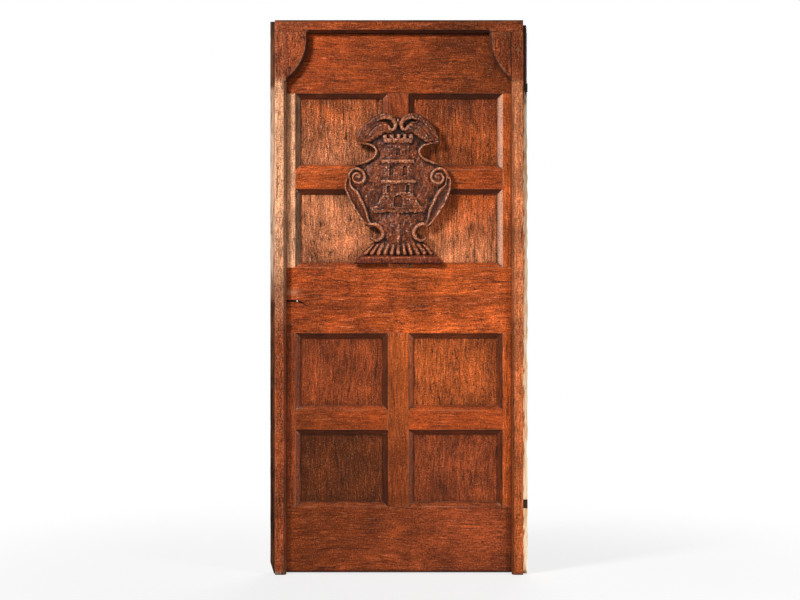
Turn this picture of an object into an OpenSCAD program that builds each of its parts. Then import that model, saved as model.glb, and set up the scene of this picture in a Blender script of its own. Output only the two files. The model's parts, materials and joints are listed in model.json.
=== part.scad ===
// Old panelled door with a carved cartouche, hung in its own timber frame.
// Millimetres. +Z is up and the front looks towards -Y. The origin is on the floor,
// under the middle of the whole.

/* [Frame] */
// Overall width across the outer flanges
frame_w = 980; // [900:1:1100]
// Overall height, floor to the top of the head
frame_h = 2100; // [1980:1:2300]
// Depth of the frame, front face to back face
frame_d = 75; // [68:1:95]
// Width of the raw flange that the plaster laps on each side
flange_w = 20; // [14:1:35]
// Set-back of the flange behind the front face
flange_back = 35; // [25:1:45]
// Face width of each jamb
jamb_face_w = 42; // [36:1:60]
// Face height of the head
head_face_h = 45; // [40:1:60]
// Lap of the frame's lip over the edge of the leaf
lip_lap = 14; // [8:1:18]
// Chamfer along the inner edge of the frame
frame_chamfer = 9; // [4:1:14]
// Length by which the hinge-side flange stops short of the head's top
flange_short = 13; // [4:1:30]
// Width of the splintered corner at the foot of the lock-side jamb
chip_w = 14; // [6:1:18]
// Height of the splintered corner at the foot of the lock-side jamb
chip_h = 46; // [20:1:80]

/* [Corner ears] */
// Width of each ear, from the jamb to its straight edge
ear_w = 84; // [60:1:110]
// Radius of the rounded edge of each ear
ear_r = 189; // [150:1:220]
// Straight stretch of the edge above its round
ear_straight = 27; // [10:1:60]
// Thickness of the tongue that holds an ear in its jamb
ear_tongue_t = 12; // [8:1:14]
// Length of the tongue that holds an ear in its jamb
ear_tongue_l = 15; // [8:1:20]
// Shoulder above and below the tongue of an ear
ear_shoulder = 30; // [15:1:50]

/* [Leaf] */
// Thickness of the leaf
leaf_t = 45; // [40:1:52]
// Gap between the edges of the leaf and the rebate of the frame
leaf_gap = 3; // [2:0.5:5]
// Gap between the face of the leaf and the lip of the frame
stop_gap = 0.5; // [0.3:0.1:1.5]
// Gap between the leaf and the floor
floor_gap = 5; // [3:1:12]
// Face height of the bottom rail
bottom_rail_h = 249; // [180:1:300]
// Height of the lower edge of the lock rail above the floor
lock_rail_z = 914; // [820:1:980]
// Face height of the lock rail
lock_rail_h = 250; // [190:1:290]
// Visible face height of the top rail, below the head
top_rail_h = 229; // [190:1:260]
// Visible face width of each stile, beside the jamb
stile_w = 34; // [28:1:60]
// Face width of the muntins
muntin_w = 78; // [60:1:100]
// Sideways shift of the muntins and of the carving from the middle
muntin_x = -3; // [-10:1:10]
// Face height of the cross rails
cross_rail_h = 74; // [60:1:95]
// Lift of the upper cross rails above the middle of their field
cross_lift = 4; // [-10:1:10]
// Width of the bevelled moulding around each panel
moulding_w = 19; // [14:1:26]
// Depth of the step where the moulding leaves the face
quirk_d = 3; // [1:0.5:5]
// Depth of the moulding at its inner edge
moulding_d = 11; // [7:0.5:12]

/* [Panels and joints] */
// Thickness of the panels
panel_t = 16; // [12:1:17]
// Set-back of the panels behind the face of the leaf
panel_back = 15; // [14:0.5:17]
// Depth of the groove around each panel
groove_d = 10; // [6:1:13]
// Clearance of panels and tenons in their grooves and mortises
joint_fit = 0.2; // [0.1:0.05:0.4]
// Length of the tenons of stiles and muntins
tenon_l = 50; // [30:1:60]
// Length of the tenons of the cross rails
cross_tenon_l = 25; // [15:1:30]
// Shoulder on each side of a tenon
tenon_shoulder = 6; // [4:1:10]
// Diameter of the pegs that lock the tenons
peg_d = 9; // [6:1:12]
// Distance of a peg from the shoulder of an upright
peg_in = 20; // [12:1:26]
// Distance of a peg from the shoulder of a cross rail
cross_peg_in = 12; // [7:1:14]
// Wood left in front of a peg
peg_cover = 9; // [6:1:12]
// Height of the tenon on top of each jamb
jamb_tenon_h = 32; // [24:1:36]
// Width of the tenon on top of each jamb
jamb_tenon_w = 20; // [14:1:24]

/* [Crack] */
// Height of the crack above the lower edge of the lock rail
crack_up = 123; // [90:1:150]
// Length of the crack from the end of the rail
crack_l = 102; // [60:1:150]
// Distance from the end of the rail at which the crack turns down
crack_turn = 56; // [30:1:58]
// Drop of the crack after its turn
crack_drop = 26; // [10:1:40]
// Width of the crack
crack_w = 7; // [3:0.5:10]
// Depth of the crack
crack_d = 16; // [8:1:30]
// Diameter of the knot hole in the crack, right through the rail
knot_d = 6; // [4:0.5:9]

/* [Carving] */
// Width of the cartouche across its volutes
carving_w = 402; // [360:1:440]
// Clear height between the top of the cartouche and the top rail
carving_down = 73; // [49:1:129]
// Height of the foot of the cartouche above the lock rail's face edge
carving_up = 13; // [4:1:30]
// Greatest thickness of the carving
carving_t = 29; // [24:1:30]
// Thickness of the ground of the carving
ground_t = 14; // [10:1:16]
// Radius of the side volutes at the middle of their band
volute_r = 36; // [30:1:40]
// Turns of the band in each side volute
volute_turns = 1.5; // [1:0.25:2]
// Number of gadroons on the foot
gadroons = 11; // [9:2:13]

/* [Hinges] */
// Height of the lower pintle above the floor
lower_pintle_z = 265; // [200:1:330]
// Distance of the upper pintle below the top of the head
upper_pintle_down = 252; // [210:1:320]
// Distance of the hinge axis from the outer side of the frame
pintle_in = 12; // [11:1:16]
// Distance of the hinge axis behind the back face
pintle_off = 14; // [13:0.5:18]
// Diameter of the pintle's pin
pin_d = 12; // [9:0.5:14]
// Radial play of the pin in its eye
pin_fit = 0.08; // [0.05:0.01:0.1]
// Outer radius of the hinge eyes
eye_r = 12; // [11:0.5:12.5]
// Height of the hinge eyes
eye_h = 36; // [28:1:50]
// Side of the pintle's square shank
shank = 10; // [8:1:12]
// Width of the clinched end of the upper shank
upper_clinch_w = 11; // [10:1:16]
// Width of the clinched end of the lower shank
lower_clinch_w = 16; // [10:1:18]
// Height of the clinched ends
clinch_h = 33; // [20:1:45]
// Thickness of the clinched ends
clinch_t = 3; // [2:0.5:5]
// Width of the hinge plates
plate_w = 46; // [40:1:52]
// Height of the hinge plates over their round ends
plate_h = 170; // [140:1:220]
// Thickness of the hinge plates
plate_t = 4; // [3:0.5:6]
// Diameter of the hinge nails
nail_d = 5; // [4:0.5:6]
// Diameter of the heads of the hinge nails
nail_head_d = 13; // [9:0.5:15]
// Length of the hinge nails in the wood
nail_l = 26; // [15:1:32]

/* [Bolt] */
// Height of the bolt above the lower edge of the lock rail
bolt_up = 170; // [60:1:180]
// Length of the bolt
bolt_l = 210; // [190:1:240]
// Height of the bolt's bar
bolt_h = 18; // [14:1:24]
// Thickness of the bolt's bar
bolt_t = 10; // [7:1:11]
// Play of the bolt in its staples
bolt_fit = 0.3; // [0.2:0.1:0.5]
// Distance the bolt slides
bolt_throw = 52; // [45:1:56]
// Distance of the withdrawn bolt's tip from the edge of the leaf
bolt_tip_in = 8; // [4:1:12]
// Thickness of the staples
staple_t = 4; // [3:0.5:5]
// Width of the staples
staple_w = 14; // [10:1:18]
// Depth of the staples in the wood
staple_leg = 26; // [15:1:32]
// Distance between the two staples on the leaf
staple_gap = 118; // [100:1:130]
// Diameter of the bolt's knob
knob_d = 14; // [10:1:18]
// Height of the bolt's knob above its bar
knob_h = 12; // [8:1:14]

/* [Hidden] */
$fn = 72;
// overshoot of cuts
cut = 1;

// colours
wood_red = "#a04c24";
wood_mid = "#8a4220";
wood_pale = "#b8714a";
wood_raw = "#c9a06c";
wood_dark = "#6b3f28";
iron = "#2b2826";

// places across the door
half_w = frame_w / 2;
jamb_out = half_w - flange_w;
jamb_in = jamb_out - jamb_face_w;
rebate_x = jamb_in + lip_lap;
leaf_x = rebate_x - leaf_gap;
leaf_open = jamb_in - stile_w;
muntin_l = muntin_x - muntin_w / 2;
muntin_r = muntin_x + muntin_w / 2;

// places up the door
head_lo = frame_h - head_face_h;
leaf_top = head_lo + lip_lap - leaf_gap;
bottom_hi = floor_gap + bottom_rail_h;
lock_hi = lock_rail_z + lock_rail_h;
top_lo = head_lo - top_rail_h;
lower_mid = (bottom_hi + lock_rail_z) / 2;
upper_mid = (lock_hi + top_lo) / 2 + cross_lift;
carving_h = top_lo - lock_hi - carving_up - carving_down;

// places through the door
y_front = -(frame_d + pintle_off + eye_r) / 2;
y_back = y_front + frame_d;
y_leaf = y_back - leaf_t;
y_lip = y_leaf - stop_gap;
y_flange = y_front + flange_back;
lip_t = y_lip - y_front;
y_panel = y_leaf + panel_back;

// the eight fields: two columns and four rows between the face edges
cols = [[-leaf_open, muntin_l], [muntin_r, leaf_open]];
rows = [
    [bottom_hi, lower_mid - cross_rail_h / 2],
    [lower_mid + cross_rail_h / 2, lock_rail_z],
    [lock_hi, upper_mid - cross_rail_h / 2],
    [upper_mid + cross_rail_h / 2, top_lo]
];

// stiles and muntin from left to right, and their lower and upper sets
uprights_x = [[-leaf_x, -leaf_open], [muntin_l, muntin_r], [leaf_open, leaf_x]];
uprights_z = [[bottom_hi, lock_rail_z], [lock_hi, top_lo]];

// ears
ear_in = jamb_in - ear_w;
ear_cx = ear_in + ear_r;
ear_cz = head_lo - ear_straight;
ear_lo = ear_cz - sqrt(ear_r * ear_r - (ear_r - ear_w) * (ear_r - ear_w));
ear_tongue_y = y_front + (lip_t - ear_tongue_t) / 2;

// hinges and bolt
axis_x = half_w - pintle_in;
axis_y = y_back + pintle_off;
collar_over = 2;
collar_h = shank + collar_over;
collar_in = 1;
clinch_in = 1;
upper_pintle_z = frame_h - upper_pintle_down;
arm_relief = 0.5;
plate_x = leaf_x - plate_w / 2;
nail_head_t = 3;
bolt_z = lock_rail_z + bolt_up;
bolt_tip = -leaf_x + bolt_tip_in;
staple_x = [bolt_tip + staple_w, bolt_tip + staple_w + staple_gap];
keeper_x = -(rebate_x + half_w) / 2;
knob_x = (staple_x[0] + staple_x[1] + bolt_throw) / 2;

// A drawing in the XZ plane, given a thickness from y back
module slab(y, t) {
    translate([0, y + t, 0]) rotate([90, 0, 0]) linear_extrude(t) children();
}

// A round bar along Y, from the back face into the wood
module bored(x, z, d, depth) {
    translate([x, y_back, z]) rotate([90, 0, 0]) cylinder(d = d, h = depth);
}

// FRAME

// Jamb of the hinge side, without its iron work
module jamb(flange_top) {
    difference() {
        union() {
            linear_extrude(head_lo) polygon([
                [jamb_in, y_front], [jamb_out, y_front], [jamb_out, y_flange], [half_w, y_flange],
                [half_w, y_back], [rebate_x, y_back], [rebate_x, y_lip], [jamb_in, y_lip]
            ]);
            translate([jamb_out, y_flange, 0]) cube([flange_w, y_back - y_flange, flange_top]);
            jamb_tenon(0);
        }
        translate([jamb_in, y_front, -cut]) linear_extrude(ear_lo + cut) polygon([
            [-cut, -cut], [frame_chamfer + cut, -cut], [-cut, frame_chamfer + cut]
        ]);
        ear_tongue(joint_fit);
        frame_peg(joint_fit);
    }
}

module jamb_tenon(grow) {
    translate([jamb_out - jamb_tenon_w - tenon_shoulder - grow, y_panel - grow, head_lo - cut])
        cube([jamb_tenon_w + 2 * grow, panel_t + 2 * grow, jamb_tenon_h + cut + grow]);
}

module frame_peg(grow) {
    bored(jamb_out - tenon_shoulder - jamb_tenon_w / 2, head_lo + lip_lap, peg_d + grow, leaf_t - peg_cover);
}

module ear_tongue(grow) {
    translate([jamb_in - cut, ear_tongue_y - grow, ear_lo + ear_shoulder - grow])
        cube([
            ear_tongue_l + cut + grow, ear_tongue_t + 2 * grow,
            head_lo - ear_lo - 2 * ear_shoulder + 2 * grow
        ]);
}

module frame_head() color(wood_red) difference() {
    translate([-jamb_out, y_front, head_lo]) cube([2 * jamb_out, frame_d, head_face_h]);
    translate([-rebate_x, y_lip, head_lo - cut]) cube([2 * rebate_x, frame_d, lip_lap + cut]);
    translate([ear_in, y_front, head_lo]) rotate([0, -90, 0]) linear_extrude(2 * ear_in) polygon([
        [-cut, -cut], [frame_chamfer + cut, -cut], [-cut, frame_chamfer + cut]
    ]);
    for (side = [0, 1]) mirror([side, 0, 0]) {
        jamb_tenon(joint_fit);
        frame_peg(joint_fit);
    }
}

module jamb_left() color(wood_pale) difference() {
    mirror([1, 0, 0]) jamb(frame_h);
    slab(y_front - cut, frame_d + 2 * cut) polygon([
        [-half_w - cut, -cut], [-half_w + chip_w, -cut], [-half_w - cut, chip_h]
    ]);
    staple(keeper_x, joint_fit);
}

module jamb_right() color(wood_pale) difference() {
    jamb(frame_h - flange_short);
    for (z = [lower_pintle_z, upper_pintle_z]) pintle_shank(z, joint_fit);
}

// Corner bracket with a convex round edge, chamfered like the frame
module ear() {
    intersection() {
        translate([ear_in, y_front, ear_lo - cut]) cube([ear_w, lip_t, head_lo - ear_lo + cut]);
        union() {
            translate([ear_cx, y_front, ear_cz]) rotate([-90, 0, 0]) rotate_extrude($fn = 180) polygon([
                [0, 0], [ear_r - frame_chamfer, 0], [ear_r, frame_chamfer], [ear_r, lip_t], [0, lip_t]
            ]);
            translate([0, 0, ear_cz]) linear_extrude(ear_straight) polygon([
                [ear_in, y_front + frame_chamfer], [ear_in + frame_chamfer, y_front],
                [jamb_in, y_front], [jamb_in, y_lip], [ear_in, y_lip]
            ]);
        }
    }
    ear_tongue(0);
}

module ear_left() color(wood_red) mirror([1, 0, 0]) ear();

module ear_right() color(wood_red) ear();

module frame_pegs() color(wood_mid) for (side = [0, 1]) mirror([side, 0, 0]) frame_peg(0);

// LEAF: framing

// Bevelled edge strip that a framing piece carries along one side of field (c, r),
// mitred at both ends
module edge_strip(side, c, r) {
    x = cols[c];
    z = rows[r];
    m = moulding_w;
    outer = side == "left" ? [[x[0], z[0]], [x[0], z[1]]]
        : side == "right" ? [[x[1], z[0]], [x[1], z[1]]]
        : side == "bottom" ? [[x[0], z[0]], [x[1], z[0]]]
        : [[x[0], z[1]], [x[1], z[1]]];
    inner = side == "left" ? [[x[0] + m, z[1] - m], [x[0] + m, z[0] + m]]
        : side == "right" ? [[x[1] - m, z[1] - m], [x[1] - m, z[0] + m]]
        : side == "bottom" ? [[x[1] - m, z[0] + m], [x[0] + m, z[0] + m]]
        : [[x[1] - m, z[1] - m], [x[0] + m, z[1] - m]];
    polygon(concat(outer, inner));
}

// Wood taken off the front of an edge strip: a step, then a bevel
module bevel_profile() {
    polygon([
        [0, -cut], [0, quirk_d], [moulding_w, moulding_d],
        [moulding_w + cut, moulding_d], [moulding_w + cut, -cut]
    ]);
}

module bevel_cut(side, c, r) {
    x = cols[c];
    z = rows[r];
    if (side == "left")
        translate([x[0], y_leaf, z[0]]) linear_extrude(z[1] - z[0]) bevel_profile();
    if (side == "right")
        translate([x[1], y_leaf, z[0]]) mirror([1, 0, 0]) linear_extrude(z[1] - z[0]) bevel_profile();
    if (side == "bottom")
        translate([x[1], y_leaf, z[0]]) rotate([0, -90, 0]) linear_extrude(x[1] - x[0]) bevel_profile();
    if (side == "top")
        translate([x[1], y_leaf, z[1]]) mirror([0, 0, 1]) rotate([0, -90, 0])
            linear_extrude(x[1] - x[0]) bevel_profile();
}

// Panel of field (c, r) with its tongues, or the space cut for it
module panel_blank(c, r, grow) {
    inset = moulding_w - groove_d + joint_fit - grow;
    translate([cols[c][0] + inset, y_panel - grow, rows[r][0] + inset])
        cube([
            cols[c][1] - cols[c][0] - 2 * inset, panel_t + 2 * grow,
            rows[r][1] - rows[r][0] - 2 * inset
        ]);
}

// Straight framing piece over [x0, x1, z0, z1] with edge strips, grooved for its panels
module framing(box, strips) {
    difference() {
        slab(y_leaf, leaf_t) {
            translate([box[0], box[2]]) square([box[1] - box[0], box[3] - box[2]]);
            for (s = strips) edge_strip(s[0], s[1], s[2]);
        }
        for (s = strips) {
            bevel_cut(s[0], s[1], s[2]);
            panel_blank(s[1], s[2], joint_fit);
        }
    }
}

module tenon_box(x0, x1, z0, z1, grow) {
    translate([x0 - grow, y_panel - grow, z0 - grow])
        cube([x1 - x0 + 2 * grow, panel_t + 2 * grow, z1 - z0 + 2 * grow]);
}

// Tenons at both ends of upright i of the lower (0) or upper (1) set
module upright_tenons(i, set, grow) {
    x0 = uprights_x[i][0] + tenon_shoulder;
    x1 = uprights_x[i][1] - tenon_shoulder;
    tenon_box(x0, x1, uprights_z[set][1] - cut, uprights_z[set][1] + tenon_l, grow);
    tenon_box(x0, x1, uprights_z[set][0] - tenon_l, uprights_z[set][0] + cut, grow);
}

// Tenons at both ends of the cross rail of column c in the lower (0) or upper (1) set
module cross_tenons(c, set, grow) {
    z0 = rows[2 * set][1] + tenon_shoulder;
    z1 = rows[2 * set + 1][0] - tenon_shoulder;
    tenon_box(cols[c][0] - cross_tenon_l, cols[c][0] + cut, z0, z1, grow);
    tenon_box(cols[c][1] - cut, cols[c][1] + cross_tenon_l, z0, z1, grow);
}

module upright_pegs(i, set, grow) {
    x = (uprights_x[i][0] + uprights_x[i][1]) / 2;
    for (z = [uprights_z[set][1] + peg_in, uprights_z[set][0] - peg_in])
        bored(x, z, peg_d + grow, leaf_t - peg_cover);
}

module cross_pegs(c, set, grow) {
    z = (rows[2 * set][1] + rows[2 * set + 1][0]) / 2;
    for (x = [cols[c][0] - cross_peg_in, cols[c][1] + cross_peg_in])
        bored(x, z, peg_d + grow, leaf_t - peg_cover);
}

// Full-width rail: mortised for the uprights of the sets that reach it
module rail(z0, z1, strips, sets) {
    difference() {
        framing([-leaf_x, leaf_x, z0, z1], strips);
        for (set = sets, i = [0 : 2]) {
            upright_tenons(i, set, joint_fit);
            upright_pegs(i, set, joint_fit);
        }
    }
}

// Stile or muntin: tenoned into the rails, mortised for the cross rails of columns cs
module upright(i, set, strips, cs) {
    difference() {
        union() {
            framing(concat(uprights_x[i], uprights_z[set]), strips);
            upright_tenons(i, set, 0);
        }
        upright_pegs(i, set, joint_fit);
        for (c = cs) {
            cross_tenons(c, set, joint_fit);
            cross_pegs(c, set, joint_fit);
        }
    }
}

module stile(side, set) {
    c = side == "left" ? 0 : 1;
    upright(2 * c, set, [for (r = [2 * set, 2 * set + 1]) [side, c, r]], [c]);
}

module muntin(set) {
    strips = [for (r = [2 * set, 2 * set + 1], s = [["right", 0], ["left", 1]]) [s[0], s[1], r]];
    upright(1, set, strips, [0, 1]);
}

module cross_rail(c, set) {
    difference() {
        union() {
            framing(
                [cols[c][0], cols[c][1], rows[2 * set][1], rows[2 * set + 1][0]],
                [["top", c, 2 * set], ["bottom", c, 2 * set + 1]]
            );
            cross_tenons(c, set, 0);
        }
        cross_pegs(c, set, joint_fit);
    }
}

module top_rail() color(wood_mid) difference() {
    rail(top_lo, leaf_top, [for (c = [0, 1]) ["top", c, 3]], [1]);
    hinge_nail_set(upper_pintle_z, joint_fit);
}

module lock_rail() color(wood_red) difference() {
    rail(
        lock_rail_z, lock_hi,
        [for (c = [0, 1], s = [["top", 1], ["bottom", 2]]) [s[0], c, s[1]]], [0, 1]
    );
    crack();
    for (x = staple_x) staple(x, joint_fit);
}

// Split in the lock-side end of the lock rail, with a knot hole in it
module crack() {
    z = lock_rail_z + crack_up;
    slab(y_leaf - cut, crack_d + cut) polygon([
        [-leaf_x - cut, z - crack_w / 2], [-leaf_x - cut, z + crack_w / 2],
        [-leaf_x + crack_turn, z + crack_w / 2], [-leaf_x + crack_l, z - crack_drop],
        [-leaf_x + crack_turn, z - crack_w / 2]
    ]);
    bored(-leaf_x + crack_turn - knot_d, z, knot_d, leaf_t + cut);
}

module bottom_rail() color(wood_mid) difference() {
    rail(floor_gap, bottom_hi, [for (c = [0, 1]) ["bottom", c, 0]], [0]);
    hinge_nail_set(lower_pintle_z, joint_fit);
}

module upper_stile_left() color(wood_pale) stile("left", 1);

module upper_stile_right() color(wood_pale) difference() {
    stile("right", 1);
    hinge_nail_set(upper_pintle_z, joint_fit);
}

module lower_stile_left() color(wood_mid) stile("left", 0);

module lower_stile_right() color(wood_pale) difference() {
    stile("right", 0);
    hinge_nail_set(lower_pintle_z, joint_fit);
}

module upper_muntin() color(wood_red) muntin(1);

module lower_muntin() color(wood_mid) muntin(0);

module upper_cross_rail_left() color(wood_red) cross_rail(0, 1);

module upper_cross_rail_right() color(wood_red) cross_rail(1, 1);

module lower_cross_rail_left() color(wood_red) cross_rail(0, 0);

module lower_cross_rail_right() color(wood_red) cross_rail(1, 0);

module leaf_pegs() color(wood_mid) for (set = [0, 1]) {
    for (i = [0 : 2]) upright_pegs(i, set, 0);
    for (c = [0, 1]) cross_pegs(c, set, 0);
}

module panel(c, r) color(r < 1 ? wood_mid : wood_pale) panel_blank(c, r, 0);

// CARVING
// Drawn flat, X across and Y up the cartouche, with Z as the height of the relief.
// Stations of a carved band are [across, up, width, height]: across and up in per cent
// of half the width and of the height of the cartouche, width in per cent of half the
// width and height in per cent of the thickness of the relief.

volute_c = [77, 57];
volute_eye = 4.5;
volute_band = [4.5, 7.5];
volute_relief = [93, 83];
volute_ground = 59;

side_tail = [
    [95, 51, 10.9, 83], [87, 45.5, 18.4, 86], [79.5, 39.5, 18.4, 86], [70.5, 34, 15.4, 83],
    [61, 29, 11.9, 79], [53, 25.6, 7, 66]
];
lobe_back = [
    [74, 79.3, 7, 66], [71, 83.5, 11.9, 83], [63.5, 88, 14.4, 90], [53, 92, 14.4, 93], [41, 95.2, 13.9, 93],
    [27, 97.2, 12.9, 93], [14, 96.4, 11.4, 93], [6.5, 93.6, 9, 93], [5.4, 90.8, 7, 93],
    [9, 88.4, 6, 93], [15, 88.6, 5.5, 90], [17.6, 90.6, 4.5, 83]
];
lobe_swell = [
    [64, 79.6, 9, 41], [54, 83.6, 18.9, 66], [41, 87, 21.9, 72], [27, 88.4, 16.9, 66], [16, 86, 8, 41]
];
notch_edge = [
    [76, 79, 3.5, 55], [61, 79.2, 4.5, 76], [48, 77.8, 4.5, 76], [41.5, 75, 4.5, 76], [42, 72, 4.5, 76],
    [47, 69.8, 4.5, 76], [58, 67.6, 4.5, 72], [78, 65, 4, 52]
];
tail_scroll = [
    [60, 26, 6, 55], [45, 26, 9, 79], [34, 24, 9.5, 86], [28.5, 20.4, 9, 90], [33, 17, 8, 86],
    [43, 15.7, 7, 83], [51.5, 16.8, 6, 76], [50.5, 19, 5, 62]
];
ground_edge = [
    [0, 5], [60, 5], [50, 13], [34, 18.5], [42, 24.5], [62, 30], [80, 40], [91, 49], [93, 57],
    [80, 64], [60, 68], [43, 73], [48, 78], [73, 80], [64, 88], [41, 95], [14, 96], [4, 93],
    [1.5, 92], [0, 92]
];

// Courses of the tower: [half width, foot, top] in per cent, and relief in per cent of the thickness
tower_courses = [
    [53, 34, 37.4, 72], [30, 36.6, 54.9, 90], [33, 53.2, 55.6, 97],
    [28.5, 55, 68, 86], [31, 66.4, 68.8, 93], [22.5, 68.2, 80.4, 83], [27.5, 79.6, 82.4, 90]
];
// Openings of the tower: [across, half width, sill, crown] in per cent
tower_openings = [
    [0, 8.4, 37.8, 45.6], [-19, 3.4, 47.2, 52], [19, 3.4, 47.2, 52], [-13, 4.4, 58.6, 64.8],
    [13, 4.4, 58.6, 64.8], [0, 4, 71.4, 76.4]
];
tower_opening_d = 31;
// Sloping buttress on each side of the lowest stage: [across, up] in per cent,
// and relief in per cent of the thickness
buttress = [[0, 36.8], [46, 36.8], [29, 46], [0, 46]];
buttress_relief = 76;
tower_cant = 0.24;
merlons = 5;
merlon = [3.4, 82.2, 85, 83];

// Foot, in per cent of half the width and of the height
plinth = [[84, 0], [72, 5.6]];
plinth_section = [[0, 0.66], [0.2, 0.86], [0.75, 0.86], [1, 0.62]];
gadroon_rows = [[62, 7, 5.5], [48, 12.6, 4.2]];
gadroon_rise = 2;

// Swelling of the shield under the tower: centre, half sizes and relief in per cent
boss_y = 24;
boss_size = [46, 12.5, 86];

// Half section of a carved band: across as a share of its width, up as a share of its height
band_section = [[-0.5, 0], [-0.5, 0.55], [-0.3, 0.88], [0, 1], [0.3, 0.88], [0.5, 0.55], [0.5, 0]];

// From the drawing's per cents to millimetres
function across(u) = u * carving_w / 200;
function up(v) = v * carving_h / 100;
function proud(h) = h * carving_t / 100;
function placed(s) = [across(s[0]), up(s[1]), across(s[2]), proud(s[3])];

function spline(a, b, c, d, t) =
    (2 * b + (c - a) * t + (2 * a - 5 * b + 4 * c - d) * t * t + (3 * b - a - 3 * c + d) * t * t * t) / 2;

// Smooth run through key stations, n steps from each to the next
function smooth(keys, n) = let (last = len(keys) - 1) [
    for (i = [0 : last - 1], j = [0 : n - 1])
        spline(keys[max(i - 1, 0)], keys[i], keys[i + 1], keys[min(i + 2, last)], j / n),
    keys[last]
];

// Unit direction of a path at its station i
function along(path, i) = let (
    d = path[min(i + 1, len(path) - 1)] - path[max(i - 1, 0)]
) [d[0], d[1]] / norm([d[0], d[1]]);

// Rounded band swept along stations in millimetres
module band(path) {
    m = len(band_section);
    n = len(path);
    points = [for (i = [0 : n - 1], s = band_section) let (t = along(path, i)) [
        path[i][0] - t[1] * s[0] * path[i][2],
        path[i][1] + t[0] * s[0] * path[i][2],
        s[1] * min(path[i][3], carving_t)
    ]];
    sides = [for (i = [0 : n - 2], k = [0 : m - 1]) let (a = i * m + k, b = i * m + (k + 1) % m)
        each [[a, b, b + m], [a, b + m, a + m]]];
    start = [for (k = [m - 1 : -1 : 0]) k];
    end = [for (k = [0 : m - 1]) (n - 1) * m + k];
    polyhedron(points, concat(sides, [start, end]));
}

module drawn_band(keys) {
    band(smooth([for (k = keys) placed(k)], 3));
}

// Side scroll: a volute that unrolls into a broad band, narrowing down the shield
module side_scroll() {
    centre = [across(volute_c[0]), up(volute_c[1])];
    steps = 18 * volute_turns;
    spiral = [for (i = [0 : steps]) let (
        part = i / steps,
        turn = 360 * volute_turns * (1 - part),
        r = across(volute_eye) + (volute_r - across(volute_eye)) * part
    ) [
        centre[0] + r * cos(turn), centre[1] + r * sin(turn),
        across(volute_band[0] + (volute_band[1] - volute_band[0]) * part),
        proud(volute_relief[0] + (volute_relief[1] - volute_relief[0]) * part)
    ]];
    tail = smooth(concat([spiral[steps]], [for (k = side_tail) placed(k)]), 3);
    band(concat(spiral, [for (i = [1 : len(tail) - 1]) tail[i]]));
    translate(centre) cylinder(r = volute_r, h = proud(volute_ground));
}

// Outline of the shield, under the bands
module shield() {
    half = smooth([for (k = ground_edge) [across(k[0]), up(k[1])]], 3);
    for (side = [0, 1]) mirror([side, 0]) polygon([for (p = half) [max(p[0], -cut), p[1]]]);
}

// Arched opening of half width w, from its sill to its crown
module arch(w, sill, crown) {
    translate([-w, sill]) square([2 * w, crown - w - sill]);
    translate([0, crown - w]) circle(w, $fn = 20);
}

// Course of masonry with canted sides, swept up from y0 to y1
module course(w, y0, y1, h) {
    cant = tower_cant * w;
    translate([0, y1, 0]) rotate([90, 0, 0]) linear_extrude(y1 - y0) polygon([
        [-w, 0], [-w, h - cant / 2], [cant - w, h], [w - cant, h], [w, h - cant / 2], [w, 0]
    ]);
}

// Tower of three stages on a stepped base, with cornices, battlements and openings
module tower() {
    pitch = (tower_courses[len(tower_courses) - 1][0] - merlon[0]) * 2 / (merlons - 1);
    difference() {
        union() {
            for (c = tower_courses) course(across(c[0]), up(c[1]), up(c[2]), proud(c[3]));
            for (side = [0, 1]) mirror([side, 0, 0]) linear_extrude(proud(buttress_relief))
                polygon([for (p = buttress) [across(p[0]), up(p[1])]]);
            for (k = [0 : merlons - 1]) translate([across((k - (merlons - 1) / 2) * pitch), 0, 0])
                course(across(merlon[0]), up(merlon[1]), up(merlon[2]), proud(merlon[3]));
        }
        translate([0, 0, carving_t - proud(tower_opening_d)]) linear_extrude(carving_t)
            for (o = tower_openings)
                translate([across(o[0]), 0]) arch(across(o[1]), up(o[2]), up(o[3]));
    }
}

module boss() {
    intersection() {
        translate([0, up(boss_y), 0]) scale([across(boss_size[0]), up(boss_size[1]), proud(boss_size[2])])
            sphere(r = 1, $fn = 32);
        linear_extrude(carving_t) shield();
    }
}

// Foot: a flared plain plinth under a fan of gadroons
module foot() {
    intersection() {
        rotate([90, 0, 90]) linear_extrude(carving_w, center = true) polygon(concat(
            [[0, 0]], [for (p = plinth_section) [p[0] * up(plinth[1][1]), p[1] * carving_t]],
            [[up(plinth[1][1]), 0]]
        ));
        linear_extrude(carving_t) for (side = [0, 1]) mirror([side, 0]) polygon(concat(
            [[-cut, 0]], [for (p = plinth) [across(p[0]), up(p[1])]], [[-cut, up(plinth[1][1])]]
        ));
    }
    for (i = [0 : gadroons - 1]) {
        fan = 2 * i / (gadroons - 1) - 1;
        hull() for (g = gadroon_rows) translate([across(fan * g[0]), up(g[1]), 0])
            scale([1, 1, gadroon_rise]) sphere(r = across(g[2]), $fn = 14);
    }
}

module carved_cartouche() color(wood_dark)
    translate([muntin_x, y_leaf, lock_hi + carving_up]) rotate([90, 0, 0]) intersection() {
        union() {
            linear_extrude(ground_t) shield();
            for (side = [0, 1]) mirror([side, 0, 0]) {
                side_scroll();
                drawn_band(lobe_back);
                drawn_band(lobe_swell);
                drawn_band(notch_edge);
                drawn_band(tail_scroll);
            }
            tower();
            boss();
            foot();
        }
        linear_extrude(carving_t) translate([-carving_w, 0]) square([2 * carving_w, 2 * carving_h]);
    }

// IRON WORK

module pintle_shank(z, grow) {
    translate([axis_x - shank / 2 - grow, y_flange - clinch_t, z - shank / 2 - grow])
        cube([shank + 2 * grow, axis_y - y_flange + clinch_t, shank + 2 * grow]);
}

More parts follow.
